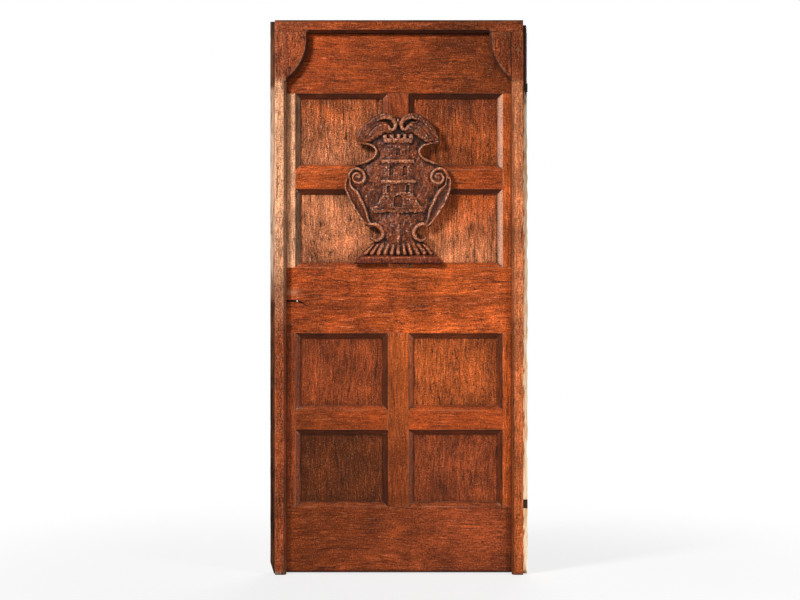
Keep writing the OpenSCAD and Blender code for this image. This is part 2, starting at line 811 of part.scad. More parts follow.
// Pin on a shank that is driven through the jamb and clinched on the flange
module pintle(z, clinch_w) {
    pintle_shank(z, 0);
    translate([axis_x, axis_y, z - shank / 2]) cylinder(r = eye_r - collar_in, h = collar_h);
    translate([axis_x, axis_y, z]) cylinder(d = pin_d, h = eye_h + shank / 2 + collar_h);
    translate([half_w - max(clinch_w, shank) - clinch_in, y_flange - clinch_t, z - clinch_h / 2])
        cube([max(clinch_w, shank), clinch_t, clinch_h]);
}

module pintle_upper() color(iron) pintle(upper_pintle_z, upper_clinch_w);

module pintle_lower() color(iron) pintle(lower_pintle_z, lower_clinch_w);

// Middle height of the hinge eye that sits on a pintle
function eye_mid(z) = z - shank / 2 + collar_h + eye_h / 2;

// Plate with round ends on the back of stile and rail, an arm past the edge and an eye
module hinge(z) {
    mid = eye_mid(z);
    difference() {
        union() {
            slab(y_back, plate_t) {
                translate([plate_x - plate_w / 2, mid - (plate_h - plate_w) / 2])
                    square([plate_w, plate_h - plate_w]);
                for (side = [-1, 1]) translate([plate_x, mid + side * (plate_h - plate_w) / 2])
                    circle(d = plate_w);
            }
            translate([plate_x, y_back + arm_relief, mid - eye_h / 2])
                cube([axis_x - plate_x - pin_d / 2, plate_t - arm_relief, eye_h]);
            translate([axis_x - eye_r, y_back + arm_relief, mid - eye_h / 2])
                cube([eye_r - pin_d / 2, pintle_off - arm_relief, eye_h]);
            translate([axis_x, axis_y, mid - eye_h / 2]) cylinder(r = eye_r, h = eye_h);
        }
        translate([axis_x, axis_y, mid - eye_h / 2 - cut])
            cylinder(d = pin_d + 2 * pin_fit, h = eye_h + 2 * cut);
        hinge_nail_set(z, joint_fit);
    }
}

module hinge_upper() color(iron) hinge(upper_pintle_z);

module hinge_lower() color(iron) hinge(lower_pintle_z);

// Nails of one hinge: shanks through the plate, or with heads
module hinge_nail_set(z, grow, head = false) {
    reach = (plate_h - plate_w) / 2;
    for (side = [-1, 1], place = [[plate_w / 5, reach], [-plate_w / 4, reach / 2]])
        translate([plate_x + place[0], y_back + plate_t, eye_mid(z) + side * place[1]]) {
            rotate([90, 0, 0]) cylinder(d = nail_d + grow, h = plate_t + nail_l + grow);
            if (head) rotate([-90, 0, 0]) cylinder(d1 = nail_head_d, d2 = nail_head_d / 2, h = nail_head_t);
        }
}

module hinge_nails() color(iron) for (z = [lower_pintle_z, upper_pintle_z]) hinge_nail_set(z, 0, true);

// Staple over the bolt, its legs driven into the wood
module staple(x, grow) {
    room_h = bolt_h + 2 * bolt_fit;
    room_t = bolt_t + 2 * bolt_fit;
    translate([x - staple_w / 2 - grow, y_back, bolt_z]) difference() {
        translate([0, -staple_leg - grow, -room_h / 2 - staple_t - grow])
            cube([
                staple_w + 2 * grow, staple_leg + room_t + staple_t + 2 * grow,
                room_h + 2 * staple_t + 2 * grow
            ]);
        translate([-cut, -staple_leg - 2 * cut, -room_h / 2 + grow])
            cube([staple_w + 2 * grow + 2 * cut, staple_leg + room_t + 2 * cut, room_h - 2 * grow]);
    }
}

module bolt_keeper() color(iron) staple(keeper_x, 0);

module bolt_staples() color(iron) for (x = staple_x) staple(x, 0);

// Flat bar with a round knob, drawn back
module slide_bolt() color(iron) {
    translate([bolt_tip, y_back + bolt_fit, bolt_z - bolt_h / 2]) cube([bolt_l, bolt_t, bolt_h]);
    translate([knob_x, y_back + bolt_fit + bolt_t, bolt_z]) rotate([-90, 0, 0]) rotate_extrude() polygon([
        [0, -cut], [knob_d / 4, -cut], [knob_d / 4, knob_h / 3], [knob_d / 2, knob_h / 2],
        [knob_d / 2, 0.8 * knob_h], [knob_d / 4, knob_h], [0, knob_h]
    ]);
}

frame_head();
jamb_left();
jamb_right();
ear_left();
ear_right();
frame_pegs();
pintle_upper();
pintle_lower();
bolt_keeper();
top_rail();
lock_rail();
bottom_rail();
upper_stile_left();
upper_stile_right();
lower_stile_left();
lower_stile_right();
upper_muntin();
lower_muntin();
upper_cross_rail_left();
upper_cross_rail_right();
lower_cross_rail_left();
lower_cross_rail_right();
panel(0, 0);  // panel_1_left
panel(1, 0);  // panel_1_right
panel(0, 1);  // panel_2_left
panel(1, 1);  // panel_2_right
panel(0, 2);  // panel_3_left
panel(1, 2);  // panel_3_right
panel(0, 3);  // panel_4_left
panel(1, 3);  // panel_4_right
carved_cartouche();
leaf_pegs();
hinge_upper();
hinge_lower();
hinge_nails();
bolt_staples();
slide_bolt();
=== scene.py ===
"""Looks of an old panelled door with a carved cartouche, in its own frame."""
import json
import math

import bmesh
import bpy
import numpy as np
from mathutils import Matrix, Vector


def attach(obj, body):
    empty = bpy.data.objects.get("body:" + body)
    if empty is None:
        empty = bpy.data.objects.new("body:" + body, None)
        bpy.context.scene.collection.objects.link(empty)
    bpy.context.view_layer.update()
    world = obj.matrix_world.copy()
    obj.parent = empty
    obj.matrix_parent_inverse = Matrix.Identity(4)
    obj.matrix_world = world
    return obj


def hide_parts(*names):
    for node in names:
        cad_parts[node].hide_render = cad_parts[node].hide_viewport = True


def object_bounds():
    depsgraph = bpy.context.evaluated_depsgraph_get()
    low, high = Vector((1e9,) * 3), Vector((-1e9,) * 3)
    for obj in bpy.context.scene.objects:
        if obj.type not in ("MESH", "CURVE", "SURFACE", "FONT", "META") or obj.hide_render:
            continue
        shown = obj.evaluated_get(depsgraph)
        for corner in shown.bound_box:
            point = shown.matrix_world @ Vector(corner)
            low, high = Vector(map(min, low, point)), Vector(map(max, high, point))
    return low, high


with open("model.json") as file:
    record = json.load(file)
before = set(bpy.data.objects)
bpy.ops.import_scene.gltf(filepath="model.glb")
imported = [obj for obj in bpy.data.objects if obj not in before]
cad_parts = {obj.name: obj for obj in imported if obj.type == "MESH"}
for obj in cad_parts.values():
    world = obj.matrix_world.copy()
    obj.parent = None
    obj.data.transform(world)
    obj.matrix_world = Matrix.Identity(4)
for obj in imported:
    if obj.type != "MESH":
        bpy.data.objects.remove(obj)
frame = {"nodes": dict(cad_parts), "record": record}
cad_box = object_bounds()
nodes = frame["nodes"]
bodies = frame["record"]["behaviour"]["bodies"]
body_of = {n: b for b, members in bodies.items() for n in members}

MM = 0.001

# Places on the door in metres, most of them from the sides and the top of its CAD box
HALF_W, TOP = round(cad_box[1][0], 6), round(cad_box[1][2], 6)
FRONT = round(cad_box[0][1], 6)
MIDDLE = TOP / 2  # the upper panels lie above this height
FACE_EDGE = HALF_W - 0.0195  # a jamb's face ends and its flange starts
SKIN_X = HALF_W - 0.0165  # the old surface of the right flange ends about here
SKIN_FADE = 0.0015
BITE_X = HALF_W - 0.014  # the flange is broken from here outwards
BITE_BACK, BITE_FADE = 0.006, 0.02  # and in front of this depth
LIP_X, LIP_Z = HALF_W - 0.062, TOP - 0.045  # the leaf goes behind the frame
LIP_SHADE_X, LIP_SHADE_Z = 0.004, 0.006  # painted shade on the leaf along the frame
LEAF_FOOT, LEAF_FOOT_SHADE, FRAME_FOOT_SHADE = 0.008, 0.008, 0.006  # painted shade near the floor
CHAMFER_X, CHAMFER_Z = HALF_W - 0.0515, TOP - 0.0345  # the frame's inner bevel lies inside these
EAR_X, EAR_Z, EAR_FADE = HALF_W - 0.155, TOP - 0.238, 0.02  # the stain of the upper corners starts
HEAD_Z, HEAD_FADE = TOP - 0.0095, 0.005  # the frame darkens along its top above this
BROKEN_Z, BROKEN_FADE = TOP - 0.48, 0.1  # the right flange is broken all along above this height
SOOT_Z, SOOT_FADE, SOOT_RAGGED = TOP - 0.3, 0.012, 0.04  # the right flange is sooty above this height
PALE_FROM, PALE_FROM_FADE = 1.0, 0.15  # the left flange is pale above this height, partly as a painted highlight
PALE_TO, PALE_TO_FADE = TOP - 0.25, 0.015  # and below this one
FOOT_X, FOOT_Z, FOOT_FADE = HALF_W - 0.043, 0.012, 0.004  # the raw foot of the left jamb
HIGHLIGHT_X = HALF_W - 0.19  # the painted highlight on the bevels lies to the right of this
BEVEL_FRONT, BEVEL_BACK = -0.0198, -0.004  # the bevels round the panels lie between these depths
BEVEL_DEEP, BEVEL_FADE = -0.014, 0.006  # the deep part of a bevel starts
RUB_X, RUB_Z = 0.085 - HALF_W, 1.068  # middle of the rubbed place on the lock rail
RUB_W, RUB_H = 0.026, 0.014
CRACK_X, CRACK_LOW, CRACK_HIGH, CRACK_BACK = 0.18 - HALF_W, 1.03, 1.09, 0.004  # the split in the lock rail
LEFT_JAMB_SPAN = (0.85, 1.35)  # the left jamb's stain turns pale between these heights, partly as painted light


# Noise

def lattice(ix, iy, iz, seed):
    """Even pseudo-random numbers from 0 to 1 for whole-number points."""
    h = (ix * 374761393 + iy * 668265263 + iz * 1440662683 + seed * 974711) & 0xFFFFFFFF
    h = ((h ^ (h >> 13)) * 1274126177) & 0xFFFFFFFF
    return ((h ^ (h >> 16)) & 0xFFFF) / 65535.0


def noise(p, seed):
    """Smooth noise from -1 to 1 at the rows of p."""
    base = np.floor(p).astype(np.int64)
    f = p - base
    f = f * f * (3 - 2 * f)
    total = 0
    for dx in (0, 1):
        for dy in (0, 1):
            for dz in (0, 1):
                weight = (
                    (f[:, 0] if dx else 1 - f[:, 0])
                    * (f[:, 1] if dy else 1 - f[:, 1])
                    * (f[:, 2] if dz else 1 - f[:, 2])
                )
                total = total + weight * lattice(base[:, 0] + dx, base[:, 1] + dy, base[:, 2] + dz, seed)
    return 2 * total - 1


def layered(p, seed, layers=3):
    """Layers of noise, each half as wide and half as strong as the one before."""
    total = sum(noise(p * 2 ** i, seed + 31 * i) / 2 ** i for i in range(layers))
    return total / (2 - 2.0 ** (1 - layers))


# Materials

WAVE = 0.05  # how far the grain wanders sideways, in metres
LONG_GRAIN, BAND_GRAIN = 0.055, 0.1  # width over length of a streak and of a band of smoke

# Tones of age on the wood, and of painted shade and painted light
EAR_STAIN = (152, 70, 34)
TAR = (44, 19, 9)
SMOKE = (52, 24, 12)
WORM_HOLE = (26, 13, 8)
# painted shade, with smoky grime on the panels
SHADE_AND_GRIME_TONE = (30, 14, 8)
# painted glints in the varnish: bright specks and pale crests of the fibres
PAINTED_SPECK_GLINT = (240, 176, 126)
PAINTED_FIBRE_GLINT = (232, 182, 146)
WORN_EDGE = (206, 142, 104)
# painted highlight on the left-facing bevels at the upper right
PAINTED_BEVEL_HIGHLIGHT = (244, 198, 172)
KNOT = (132, 80, 44)
SOOT_TONES = (44, 24, 15), (104, 64, 40)
BARE_TONES = (98, 68, 46), (146, 108, 76)
# the left flange's pale band, partly worn and partly a painted highlight, and its raw foot
RAW_GREY = (116, 92, 74), (196, 168, 146)
# raw wood, made near white partly as painted light
RAW_PALE = (226, 176, 116), (255, 240, 206)

# Tones of the carving, the iron and the pegs
CARVED_TONES = (88, 40, 18), (140, 70, 36)
PLINTH_TONE = (112, 44, 20)
# painted shade in the cuts, painted light on what stands out, and chips that are partly worn and partly
# painted glints
CUT_SHADE = (20, 9, 5)
CREST_LIGHT = (190, 106, 62)
CHIP_AND_GLINT = (218, 184, 160)
SHADE = (0.22, 0.17, 0.15, 1)
IRON_TONES = (34, 31, 29), (74, 52, 40)
RUST = (116, 70, 44)
PEG_TONES = (62, 38, 24), (138, 92, 60)


def lin(colour):
    """Linear colour from 0-255 display values."""
    out = [v / 255 for v in colour]
    return (*[v / 12.92 if v <= 0.04045 else ((v + 0.055) / 1.055) ** 2.4 for v in out], 1.0)


class Tree:
    """Short-hand for building the nodes of a material or a world."""

    def __init__(self, owner):
        self.owner = owner
        owner.use_nodes = True
        self.tree = owner.node_tree
        self.tree.nodes.clear()

    def add(self, kind, inputs=None, **settings):
        node = self.tree.nodes.new(kind)
        for key, value in settings.items():
            setattr(node, key, value)
        for key, value in (inputs or {}).items():
            if isinstance(value, bpy.types.NodeSocket):
                self.tree.links.new(value, node.inputs[key])
            else:
                node.inputs[key].default_value = value
        return node

    def place(self):
        return self.add("ShaderNodeTexCoord").outputs["Object"]

    def math(self, operation, a, b=0.0, clamp=False):
        return self.add("ShaderNodeMath", {0: a, 1: b}, operation=operation, use_clamp=clamp).outputs[0]

    def times(self, a, b, clamp=False):
        return self.math("MULTIPLY", a, b, clamp)

    def plus(self, a, b):
        return self.math("ADD", a, b)

    def minus(self, a, b):
        return self.math("SUBTRACT", a, b)

    def most(self, a, b):
        return self.math("MAXIMUM", a, b)

    def weighted(self, *parts):
        """Sum of values, each times its weight."""
        total = None
        for value, weight in parts:
            share = self.times(value, weight)
            total = self.plus(total, share) if total else share
        return total

    def mix(self, factor, a, b, blend="MIX"):
        """Colour a, with colour b over it where the factor says."""
        sockets = {"Factor": factor, 6: a, 7: b}
        return self.add("ShaderNodeMix", sockets, data_type="RGBA", blend_type=blend).outputs[2]

    def between(self, factor, tones):
        return self.mix(factor, lin(tones[0]), lin(tones[1]))

    def tint(self, colour, mask, strength, tone):
        return self.mix(self.times(mask, strength), colour, lin(tone))

    def ramp(self, value, low, high, a=0.0, b=1.0):
        """Smooth change from a at low to b at high."""
        sockets = {0: value, 1: low, 2: high, 3: a, 4: b}
        return self.add("ShaderNodeMapRange", sockets, interpolation_type="SMOOTHSTEP").outputs[0]

    def noise(self, vector, scale, detail=3.0, rough=0.55, distortion=0.0):
        return self.add("ShaderNodeTexNoise", {
            "Vector": vector, "Scale": scale, "Detail": detail, "Roughness": rough, "Distortion": distortion,
        }).outputs["Fac"]

    def attribute(self, name):
        return self.add("ShaderNodeAttribute", attribute_name=name).outputs["Fac"]

    def surface(self, height, strength, distance, **sockets):
        """The finished material, with a bump of the given height, strength and distance."""
        bump = self.add("ShaderNodeBump", {"Height": height, "Strength": strength, "Distance": distance})
        shader = self.add("ShaderNodeBsdfPrincipled", {k.replace("_", " "): v for k, v in sockets.items()})
        self.tree.links.new(bump.outputs[0], shader.inputs["Normal"])
        self.add("ShaderNodeOutputMaterial", {0: shader.outputs[0]})
        return self.owner


def new_tree(name):
    return Tree(bpy.data.materials.new(name))


def grain_space(t, place, axis, seed, squeeze):
    """Object coordinates that wander and are squeezed along the grain, so that noise makes streaks."""
    slow = t.add("ShaderNodeTexNoise", {"Vector": place, "Scale": 3.2, "Detail": 1.0}).outputs["Color"]
    wave = t.add("ShaderNodeVectorMath", {0: slow, 1: (WAVE, WAVE, WAVE)}, operation="MULTIPLY").outputs[0]
    bent = t.add("ShaderNodeVectorMath", {0: place, 1: wave}, operation="ADD").outputs[0]
    start = (seed * 1.7, seed * 0.9, seed * 2.3)
    scale = {"x": (squeeze, 1.0, 1.0), "z": (1.0, 1.0, squeeze)}[axis]
    return t.add("ShaderNodeMapping", {"Vector": bent, "Location": start, "Scale": scale}).outputs[0]


class Timber(Tree):
    """Nodes of a wood, with the noises that its figure and its wear share."""

    def __init__(self, name, axis, seed):
        super().__init__(bpy.data.materials.new(name))
        self.spot = self.place()
        self.grain = grain_space(self, self.spot, axis, seed, LONG_GRAIN)
        self.bands = grain_space(self, self.spot, axis, seed, BAND_GRAIN)
        self.lines = self.noise(self.grain, 120.0, detail=5.0, rough=0.66, distortion=0.4)
        self.fibre = self.noise(self.grain, 330.0, detail=4.0, rough=0.75)
        self.patch = self.noise(self.spot, 8.0, distortion=0.6)
        self.fleck = self.noise(self.spot, 230.0, detail=2.0, rough=0.7)
        self.pore = self.noise(self.grain, 225.0, detail=2.0, rough=0.6)


def figured(t, colour, streak):
    """Streaks of several widths, patches, flecks and pores, as a lighter or darker tone."""
    broad = t.noise(t.grain, 26.0, distortion=0.8)
    weights = (t.lines, 0.2), (broad, 0.16), (t.fibre, 0.36), (t.patch, -0.4), (t.fleck, 0.5), (t.pore, 0.3)
    figure = t.weighted(*[(t.minus(part, 0.5), weight) for part, weight in weights])
    tone = t.math("POWER", 2.0, t.times(t.minus(figure, 0.03), 9.0 * streak))
    return t.mix(1.0, colour, tone, "MULTIPLY")


def hairlined(t, colour, streak):
    """Dark hairlines that wander along the grain."""
    for scale, width, strength in ((62.0, 0.02, 0.9), (115.0, 0.018, 0.75)):
        wander = t.noise(t.grain, scale, detail=2.0, rough=0.5, distortion=0.5)
        hair = t.ramp(t.math("ABSOLUTE", t.minus(wander, 0.5)), width, 0.0)
        colour = t.tint(colour, hair, strength * streak, TAR)
    return colour


def specked(t, colour, streak, painted_glints):
    """Dark pits in the varnish, and bright specks that are painted glints."""
    speck = t.noise(t.spot, 250.0, detail=1.0, rough=0.5)
    colour = t.tint(colour, t.ramp(speck, 0.42, 0.32), 0.75 * streak, TAR)
    return t.tint(colour, t.ramp(speck, 0.6, 0.7), 0.1 + 0.3 * painted_glints, PAINTED_SPECK_GLINT)


def smoked(t, colour):
    """Smoke that has darkened whole areas."""
    return t.tint(colour, t.ramp(t.noise(t.bands, 11.0, rough=0.6), 0.52, 0.7), 0.4, SMOKE)


def holed(t, colour):
    """Worm holes and nail holes."""
    spots = t.add("ShaderNodeTexVoronoi", {"Vector": t.spot, "Scale": 34.0, "Randomness": 1.0})
    pick = t.add("ShaderNodeSeparateXYZ", {0: spots.outputs["Color"]}).outputs[0]
    hole = t.times(t.ramp(spots.outputs["Distance"], 0.11, 0.06), t.math("GREATER_THAN", pick, 0.88))
    return t.tint(colour, hole, 0.9, WORM_HOLE)


def aged_and_painted_light(t, colour, raw_tones):
    """Worn edges, a painted highlight on bevels, the bare back, raw and sooty places, and painted shade,
    where the mesh is marked.
    """
    worn = t.times(t.attribute("wear"), t.ramp(t.noise(t.grain, 60.0), 0.4, 0.6), True)
    colour = t.tint(colour, worn, 0.6, WORN_EDGE)
    # painted highlight on the bevels that face left at the upper right
    colour = t.tint(colour, t.times(t.attribute("bevel_highlight"), t.ramp(t.fleck, 0.3, 0.5)), 0.5, PAINTED_BEVEL_HIGHLIGHT)
    weathered = t.weighted((t.lines, 0.3), (t.fibre, 0.45), (t.patch, 0.25))
    bare = t.between(t.ramp(weathered, 0.38, 0.64), BARE_TONES)
    colour = t.mix(t.attribute("bare"), colour, bare)
    raw = t.between(t.ramp(t.lines, 0.36, 0.6), raw_tones)
    raw = t.mix(t.ramp(t.patch, 0.6, 0.74), raw, lin(KNOT))
    colour = t.mix(t.attribute("raw"), colour, raw)
    soot = t.between(t.ramp(t.lines, 0.4, 0.64), SOOT_TONES)
    colour = t.mix(t.attribute("soot"), colour, soot)
    # painted shade where the mesh is marked
    shading = t.times(t.attribute("shade_and_grime"), t.ramp(t.fleck, 0.3, 0.55, 0.8, 1.0), True)
    return t.mix(shading, colour, lin(SHADE_AND_GRIME_TONE))


def wood(name, stains, axis, seed, span, streak, painted_glints, raw_tones):
    """Worn varnished wood, from the first stain at the start of span to the second at its end."""
    t = Timber(name, axis, seed)
    along = t.add("ShaderNodeSeparateXYZ", {0: t.spot}).outputs["xyz".index(axis)]
    colour = t.between(t.ramp(along, *span), stains)
    colour = t.mix(t.attribute("cap"), colour, lin(EAR_STAIN))
    colour = figured(t, colour, streak)
    colour = hairlined(t, colour, streak)
    colour = specked(t, colour, streak, painted_glints)
    colour = smoked(t, colour)
    # pale crests of the fibres: painted glints, strongest on the pieces where light glinted
    crest = t.ramp(t.weighted((t.fibre, 0.55), (t.fleck, 0.25), (t.pore, 0.2)), 0.535, 0.65)
    colour = t.tint(colour, crest, 0.8 * painted_glints, PAINTED_FIBRE_GLINT)
    colour = aged_and_painted_light(t, holed(t, colour), raw_tones)
    rough = t.minus(t.ramp(t.fibre, 0.36, 0.64, 0.4, 0.6), t.times(crest, 0.3 * painted_glints))
    relief = t.weighted((t.lines, 0.3), (t.pore, 0.6), (t.fleck, 0.35))
    return t.surface(relief, 0.8, 0.0012, Base_Color=colour, Roughness=rough, Specular_IOR_Level=0.1)


def carved_wood():
    """Dark, worn carving: painted light on what stands out and painted shade in the cuts, with pale chips
    that are partly wear and partly painted glints.
    """
    t = new_tree("carved_wood")
    place = t.place()
    grain = grain_space(t, place, "z", 4.0, LONG_GRAIN)
    lines = t.noise(grain, 170.0, detail=4.0, rough=0.65, distortion=0.4)
    fibre = t.noise(grain, 640.0, rough=0.7)
    patch = t.noise(place, 16.0, detail=4.0, rough=0.6, distortion=0.4)
    fleck = t.noise(place, 130.0, rough=0.7)
    grit = t.minus(t.noise(place, 240.0, detail=2.0, rough=0.6), 0.52)
    cavity = t.attribute("cavity")
    base = t.between(t.ramp(patch, 0.38, 0.62), CARVED_TONES)
    base = t.mix(t.attribute("plinth"), base, lin(PLINTH_TONE))
    dark = t.mix(1.0, base, SHADE, "MULTIPLY")
    colour = t.mix(t.times(t.ramp(lines, 0.52, 0.34), 0.6), base, dark)
    colour = t.mix(t.times(t.ramp(fleck, 0.52, 0.38), 0.7), colour, dark)
    # painted shade in the cuts and painted light on what stands out
    colour = t.tint(colour, t.ramp(cavity, 0.47, 0.2), 0.88, CUT_SHADE)
    colour = t.tint(colour, t.ramp(cavity, 0.56, 0.84), 0.6, CREST_LIGHT)
    # pale chips and arrises, partly wear and partly painted glints, faint on the plinth
    chips = t.times(t.ramp(fleck, 0.56, 0.68), t.ramp(cavity, 0.46, 0.6))
    arris = t.times(t.ramp(fleck, 0.42, 0.56), t.ramp(cavity, 0.66, 0.86))
    worn = t.most(chips, t.times(arris, 0.45))
    bright = t.times(worn, t.ramp(t.attribute("plinth"), 0.0, 1.0, 0.66, 0.15))
    colour = t.mix(bright, colour, lin(CHIP_AND_GLINT))
    colour = t.mix(1.0, colour, t.math("POWER", 2.0, t.times(grit, 7.0)), "MULTIPLY")
    rough = t.times(t.ramp(fleck, 0.3, 0.7, 0.5, 0.22), t.ramp(cavity, 0.5, 0.68, 1.0, 0.6))
    relief = t.weighted((fleck, 0.8), (fibre, 0.35))
    return t.surface(relief, 1.0, 0.0016, Base_Color=colour, Roughness=rough, Specular_IOR_Level=0.17)


def forged_iron():
    """Black iron with a brown scale and rusty pits."""
    t = new_tree("forged_iron")
    place = t.place()
    scale = t.noise(place, 90.0, detail=5.0, rough=0.65)
    pits = t.noise(place, 420.0, rough=0.6)
    colour = t.between(t.ramp(scale, 0.42, 0.66), IRON_TONES)
    colour = t.mix(t.ramp(pits, 0.6, 0.75), colour, lin(RUST))
    rough = t.ramp(scale, 0.3, 0.7, 0.45, 0.8)
    return t.surface(t.plus(scale, pits), 0.5, 0.0009, Base_Color=colour, Roughness=rough, Metallic=0.75)


def end_grain():
    """Ends of pegs."""
    t = new_tree("end_grain")
    rings = t.noise(t.place(), 260.0, detail=4.0, rough=0.6, distortion=1.2)
    colour = t.between(t.ramp(rings, 0.36, 0.62), PEG_TONES)
    return t.surface(rings, 0.4, 0.0008, Base_Color=colour, Roughness=0.7)


# Wood pieces

# Stains, from the darkest to the palest
SMOKED = (100, 45, 15)
DARK = (125, 55, 20)
BROWN = (145, 65, 30)
RED = (165, 70, 25)
RUSSET = (180, 85, 35)
ORANGE = (200, 90, 35)
TAN = (190, 110, 70)
PALE = (210, 125, 80)
# the palest stain, painted light where the light fell brightest
PAINTED_LIGHT_STAIN = (245, 175, 130)

# Each node's stain at its foot or left end, stain at its top or right end, direction of the grain,
# strength of the streaks, raised grain in mm, and strength of the painted glints. The stains are partly
# painted light: paler on the pieces at the upper left and towards the tops of the jambs, where the light
# fell.
WOOD = {
    "frame_head": (RED, DARK, "x", 0.9, 0.35, 0.25),
    "jamb_left": (BROWN, PAINTED_LIGHT_STAIN, "z", 0.8, 0.4, 0.4),
    "jamb_right": (RUSSET, PALE, "z", 0.8, 0.4, 0.35),
    "ear_left": (BROWN, BROWN, "z", 1.15, 0.4, 0.15),
    "ear_right": (ORANGE, ORANGE, "z", 1.15, 0.4, 0.15),
    "top_rail": (RED, DARK, "x", 0.85, 0.4, 0.25),
    "lock_rail": (RED, ORANGE, "x", 0.9, 0.45, 0.3),
    "bottom_rail": (DARK, BROWN, "x", 0.8, 0.5, 0.15),
    "upper_stile_left": (PAINTED_LIGHT_STAIN, PAINTED_LIGHT_STAIN, "z", 0.8, 0.4, 0.9),
    "upper_stile_right": (RUSSET, RUSSET, "z", 0.8, 0.4, 0.4),
    "lower_stile_left": (BROWN, BROWN, "z", 0.8, 0.4, 0.15),
    "lower_stile_right": (ORANGE, ORANGE, "z", 0.8, 0.4, 0.3),
    "upper_muntin": (RUSSET, BROWN, "z", 0.8, 0.4, 0.15),
    "lower_muntin": (DARK, RUSSET, "z", 0.7, 0.4, 0.15),
    "upper_cross_rail_left": (ORANGE, ORANGE, "x", 0.8, 0.4, 0.3),
    "upper_cross_rail_right": (DARK, RED, "x", 0.8, 0.4, 0.25),
    "lower_cross_rail_left": (DARK, RED, "x", 0.7, 0.4, 0.15),
    "lower_cross_rail_right": (RED, RED, "x", 0.7, 0.4, 0.15),
    "panel_1_left": (SMOKED, SMOKED, "z", 0.85, 0.7, 0.15),
    "panel_1_right": (BROWN, BROWN, "z", 0.9, 0.7, 0.15),
    "panel_2_left": (BROWN, BROWN, "z", 0.9, 0.7, 0.15),
    "panel_2_right": (RUSSET, RUSSET, "z", 1.0, 0.7, 0.25),
    "panel_3_left": (TAN, PALE, "z", 1.0, 0.9, 0.85),
    "panel_3_right": (PALE, ORANGE, "z", 1.0, 0.9, 0.5),
    "panel_4_left": (TAN, RUSSET, "z", 1.1, 0.9, 0.9),
    "panel_4_right": (RUSSET, BROWN, "z", 1.1, 0.9, 0.35),
}
FIRST_SEED = 3

# Meshing of the wood, in metres and radians
WELD = 2e-6  # points nearer than this are one
FLAT_TURN = 0.01  # faces that turn by less are one
ARRIS_TURN, ARRIS_LENGTH = 0.5, 0.03  # an edge is rounded when it turns more and is longer
ARRIS_R = 0.0013
STEP_ALONG, STEP_ACROSS = 0.016, 0.0032  # cells of the grid along and across the grain
SHARP_WOOD = math.radians(38)

# Wear of the wood: sizes of what wears it in metres, and how deep it goes in mm
FIBRE_L, FIBRE_W = 0.16, 0.006
DENT_SIZE, DENT_DEPTH = 0.02, 1.5
SWELL_SIZE, SWELL_DEPTH = 0.13, 0.5
BITE_SIZE, BITE_DEPTH = np.array([0.05, 0.05, 0.035]), 7

# Painted shade, smoke and soot on the wood, in metres
PANEL_SHADE, PANEL_SMOKE, SMOKE_SIZE = 0.022, 0.075, 0.06  # reach from a panel's edges, size of the clouds
SKIN_SIZE, SKIN_RAGGED, SOOT_SIZE = np.array([0.03, 0.03, 0.018]), 0.009, 0.03


def cut_grid(bm, axis, step):
    """Cuts the mesh into slices of about step along an axis."""
    values = [v.co[axis] for v in bm.verts]
    low, high = min(values), max(values)
    count = int((high - low) / step)
    normal = [0.0, 0.0, 0.0]
    normal[axis] = 1.0
    for i in range(1, count):
        point = [0.0, 0.0, 0.0]
        point[axis] = low + (high - low) * i / count
        bmesh.ops.bisect_plane(
            bm, geom=bm.verts[:] + bm.edges[:] + bm.faces[:], dist=1e-6, plane_co=point, plane_no=normal
        )


def rise(v, start, run):
    """0 up to start, then rising to 1 over run."""
    return np.clip((v - start) / run, 0, 1)


def bordering(p, reach):
    """1 on the border of the points' box in X and Z, falling to 0 at reach inside it."""
    low, high = p.min(0), p.max(0)
    gap = np.minimum(
        np.minimum(p[:, 0] - low[0], high[0] - p[:, 0]), np.minimum(p[:, 2] - low[2], high[2] - p[:, 2])
    )
    return np.clip(1 - gap / reach, 0, 1)


def leaning(n):
    """0 on a face that hardly leans one way, 1 on one that leans well, by that component of its normal."""
    return np.clip(n * 4 - 0.6, 0, 1)


def put(mesh, name, values):
    mesh.attributes.new(name, "FLOAT", "POINT").data.foreach_set("value", np.asarray(values, np.float32))


def is_arris(edge):
    if len(edge.link_faces) != 2 or not edge.is_convex:
        return False
    return edge.calc_face_angle(0) > ARRIS_TURN and edge.calc_length() > ARRIS_LENGTH


def rounded_copy(name, axis):
    """A node's mesh with rounded arrises and a fine grid, its normals, and how far it turns at each point."""
    bm = bmesh.new()
    bm.from_mesh(nodes[name].data)
    bmesh.ops.remove_doubles(bm, verts=bm.verts[:], dist=WELD)
    bmesh.ops.dissolve_limit(bm, angle_limit=FLAT_TURN, verts=bm.verts[:], edges=bm.edges[:])
    bmesh.ops.bevel(
        bm, geom=[e for e in bm.edges if is_arris(e)], offset=ARRIS_R, offset_type="OFFSET", segments=2,
        profile=0.5, affect="EDGES", clamp_overlap=True,
    )
    lengthways, sideways = (0, 2) if axis == "x" else (2, 0)
    cut_grid(bm, lengthways, STEP_ALONG)
    cut_grid(bm, sideways, STEP_ACROSS)
    bm.normal_update()
    mesh = bpy.data.meshes.new(name + "_worn")
    bm.to_mesh(mesh)
    normals = np.array([v.normal for v in bm.verts])
    turn = np.array([1 - min((v.normal.dot(f.normal) for f in v.link_faces), default=1.0) for v in bm.verts])
    bm.free()
    return mesh, normals, turn


def flange_bite(name, seed, p):
    """How far a jamb's flange is broken away at its outer edge, in metres."""
    x, y, z = p.T
    bite = np.clip(layered(p / BITE_SIZE, seed + 17) + 0.1, 0, 1)
    if name == "jamb_left":
        bite *= 0.15
    else:
        bite = np.maximum(bite, rise(z, BROKEN_Z, BROKEN_FADE) * (1 + 0.25 * bite))
    edge = rise(np.abs(x), BITE_X, HALF_W - BITE_X) * rise(-y, -BITE_BACK, BITE_FADE)
    return edge * bite * BITE_DEPTH * MM


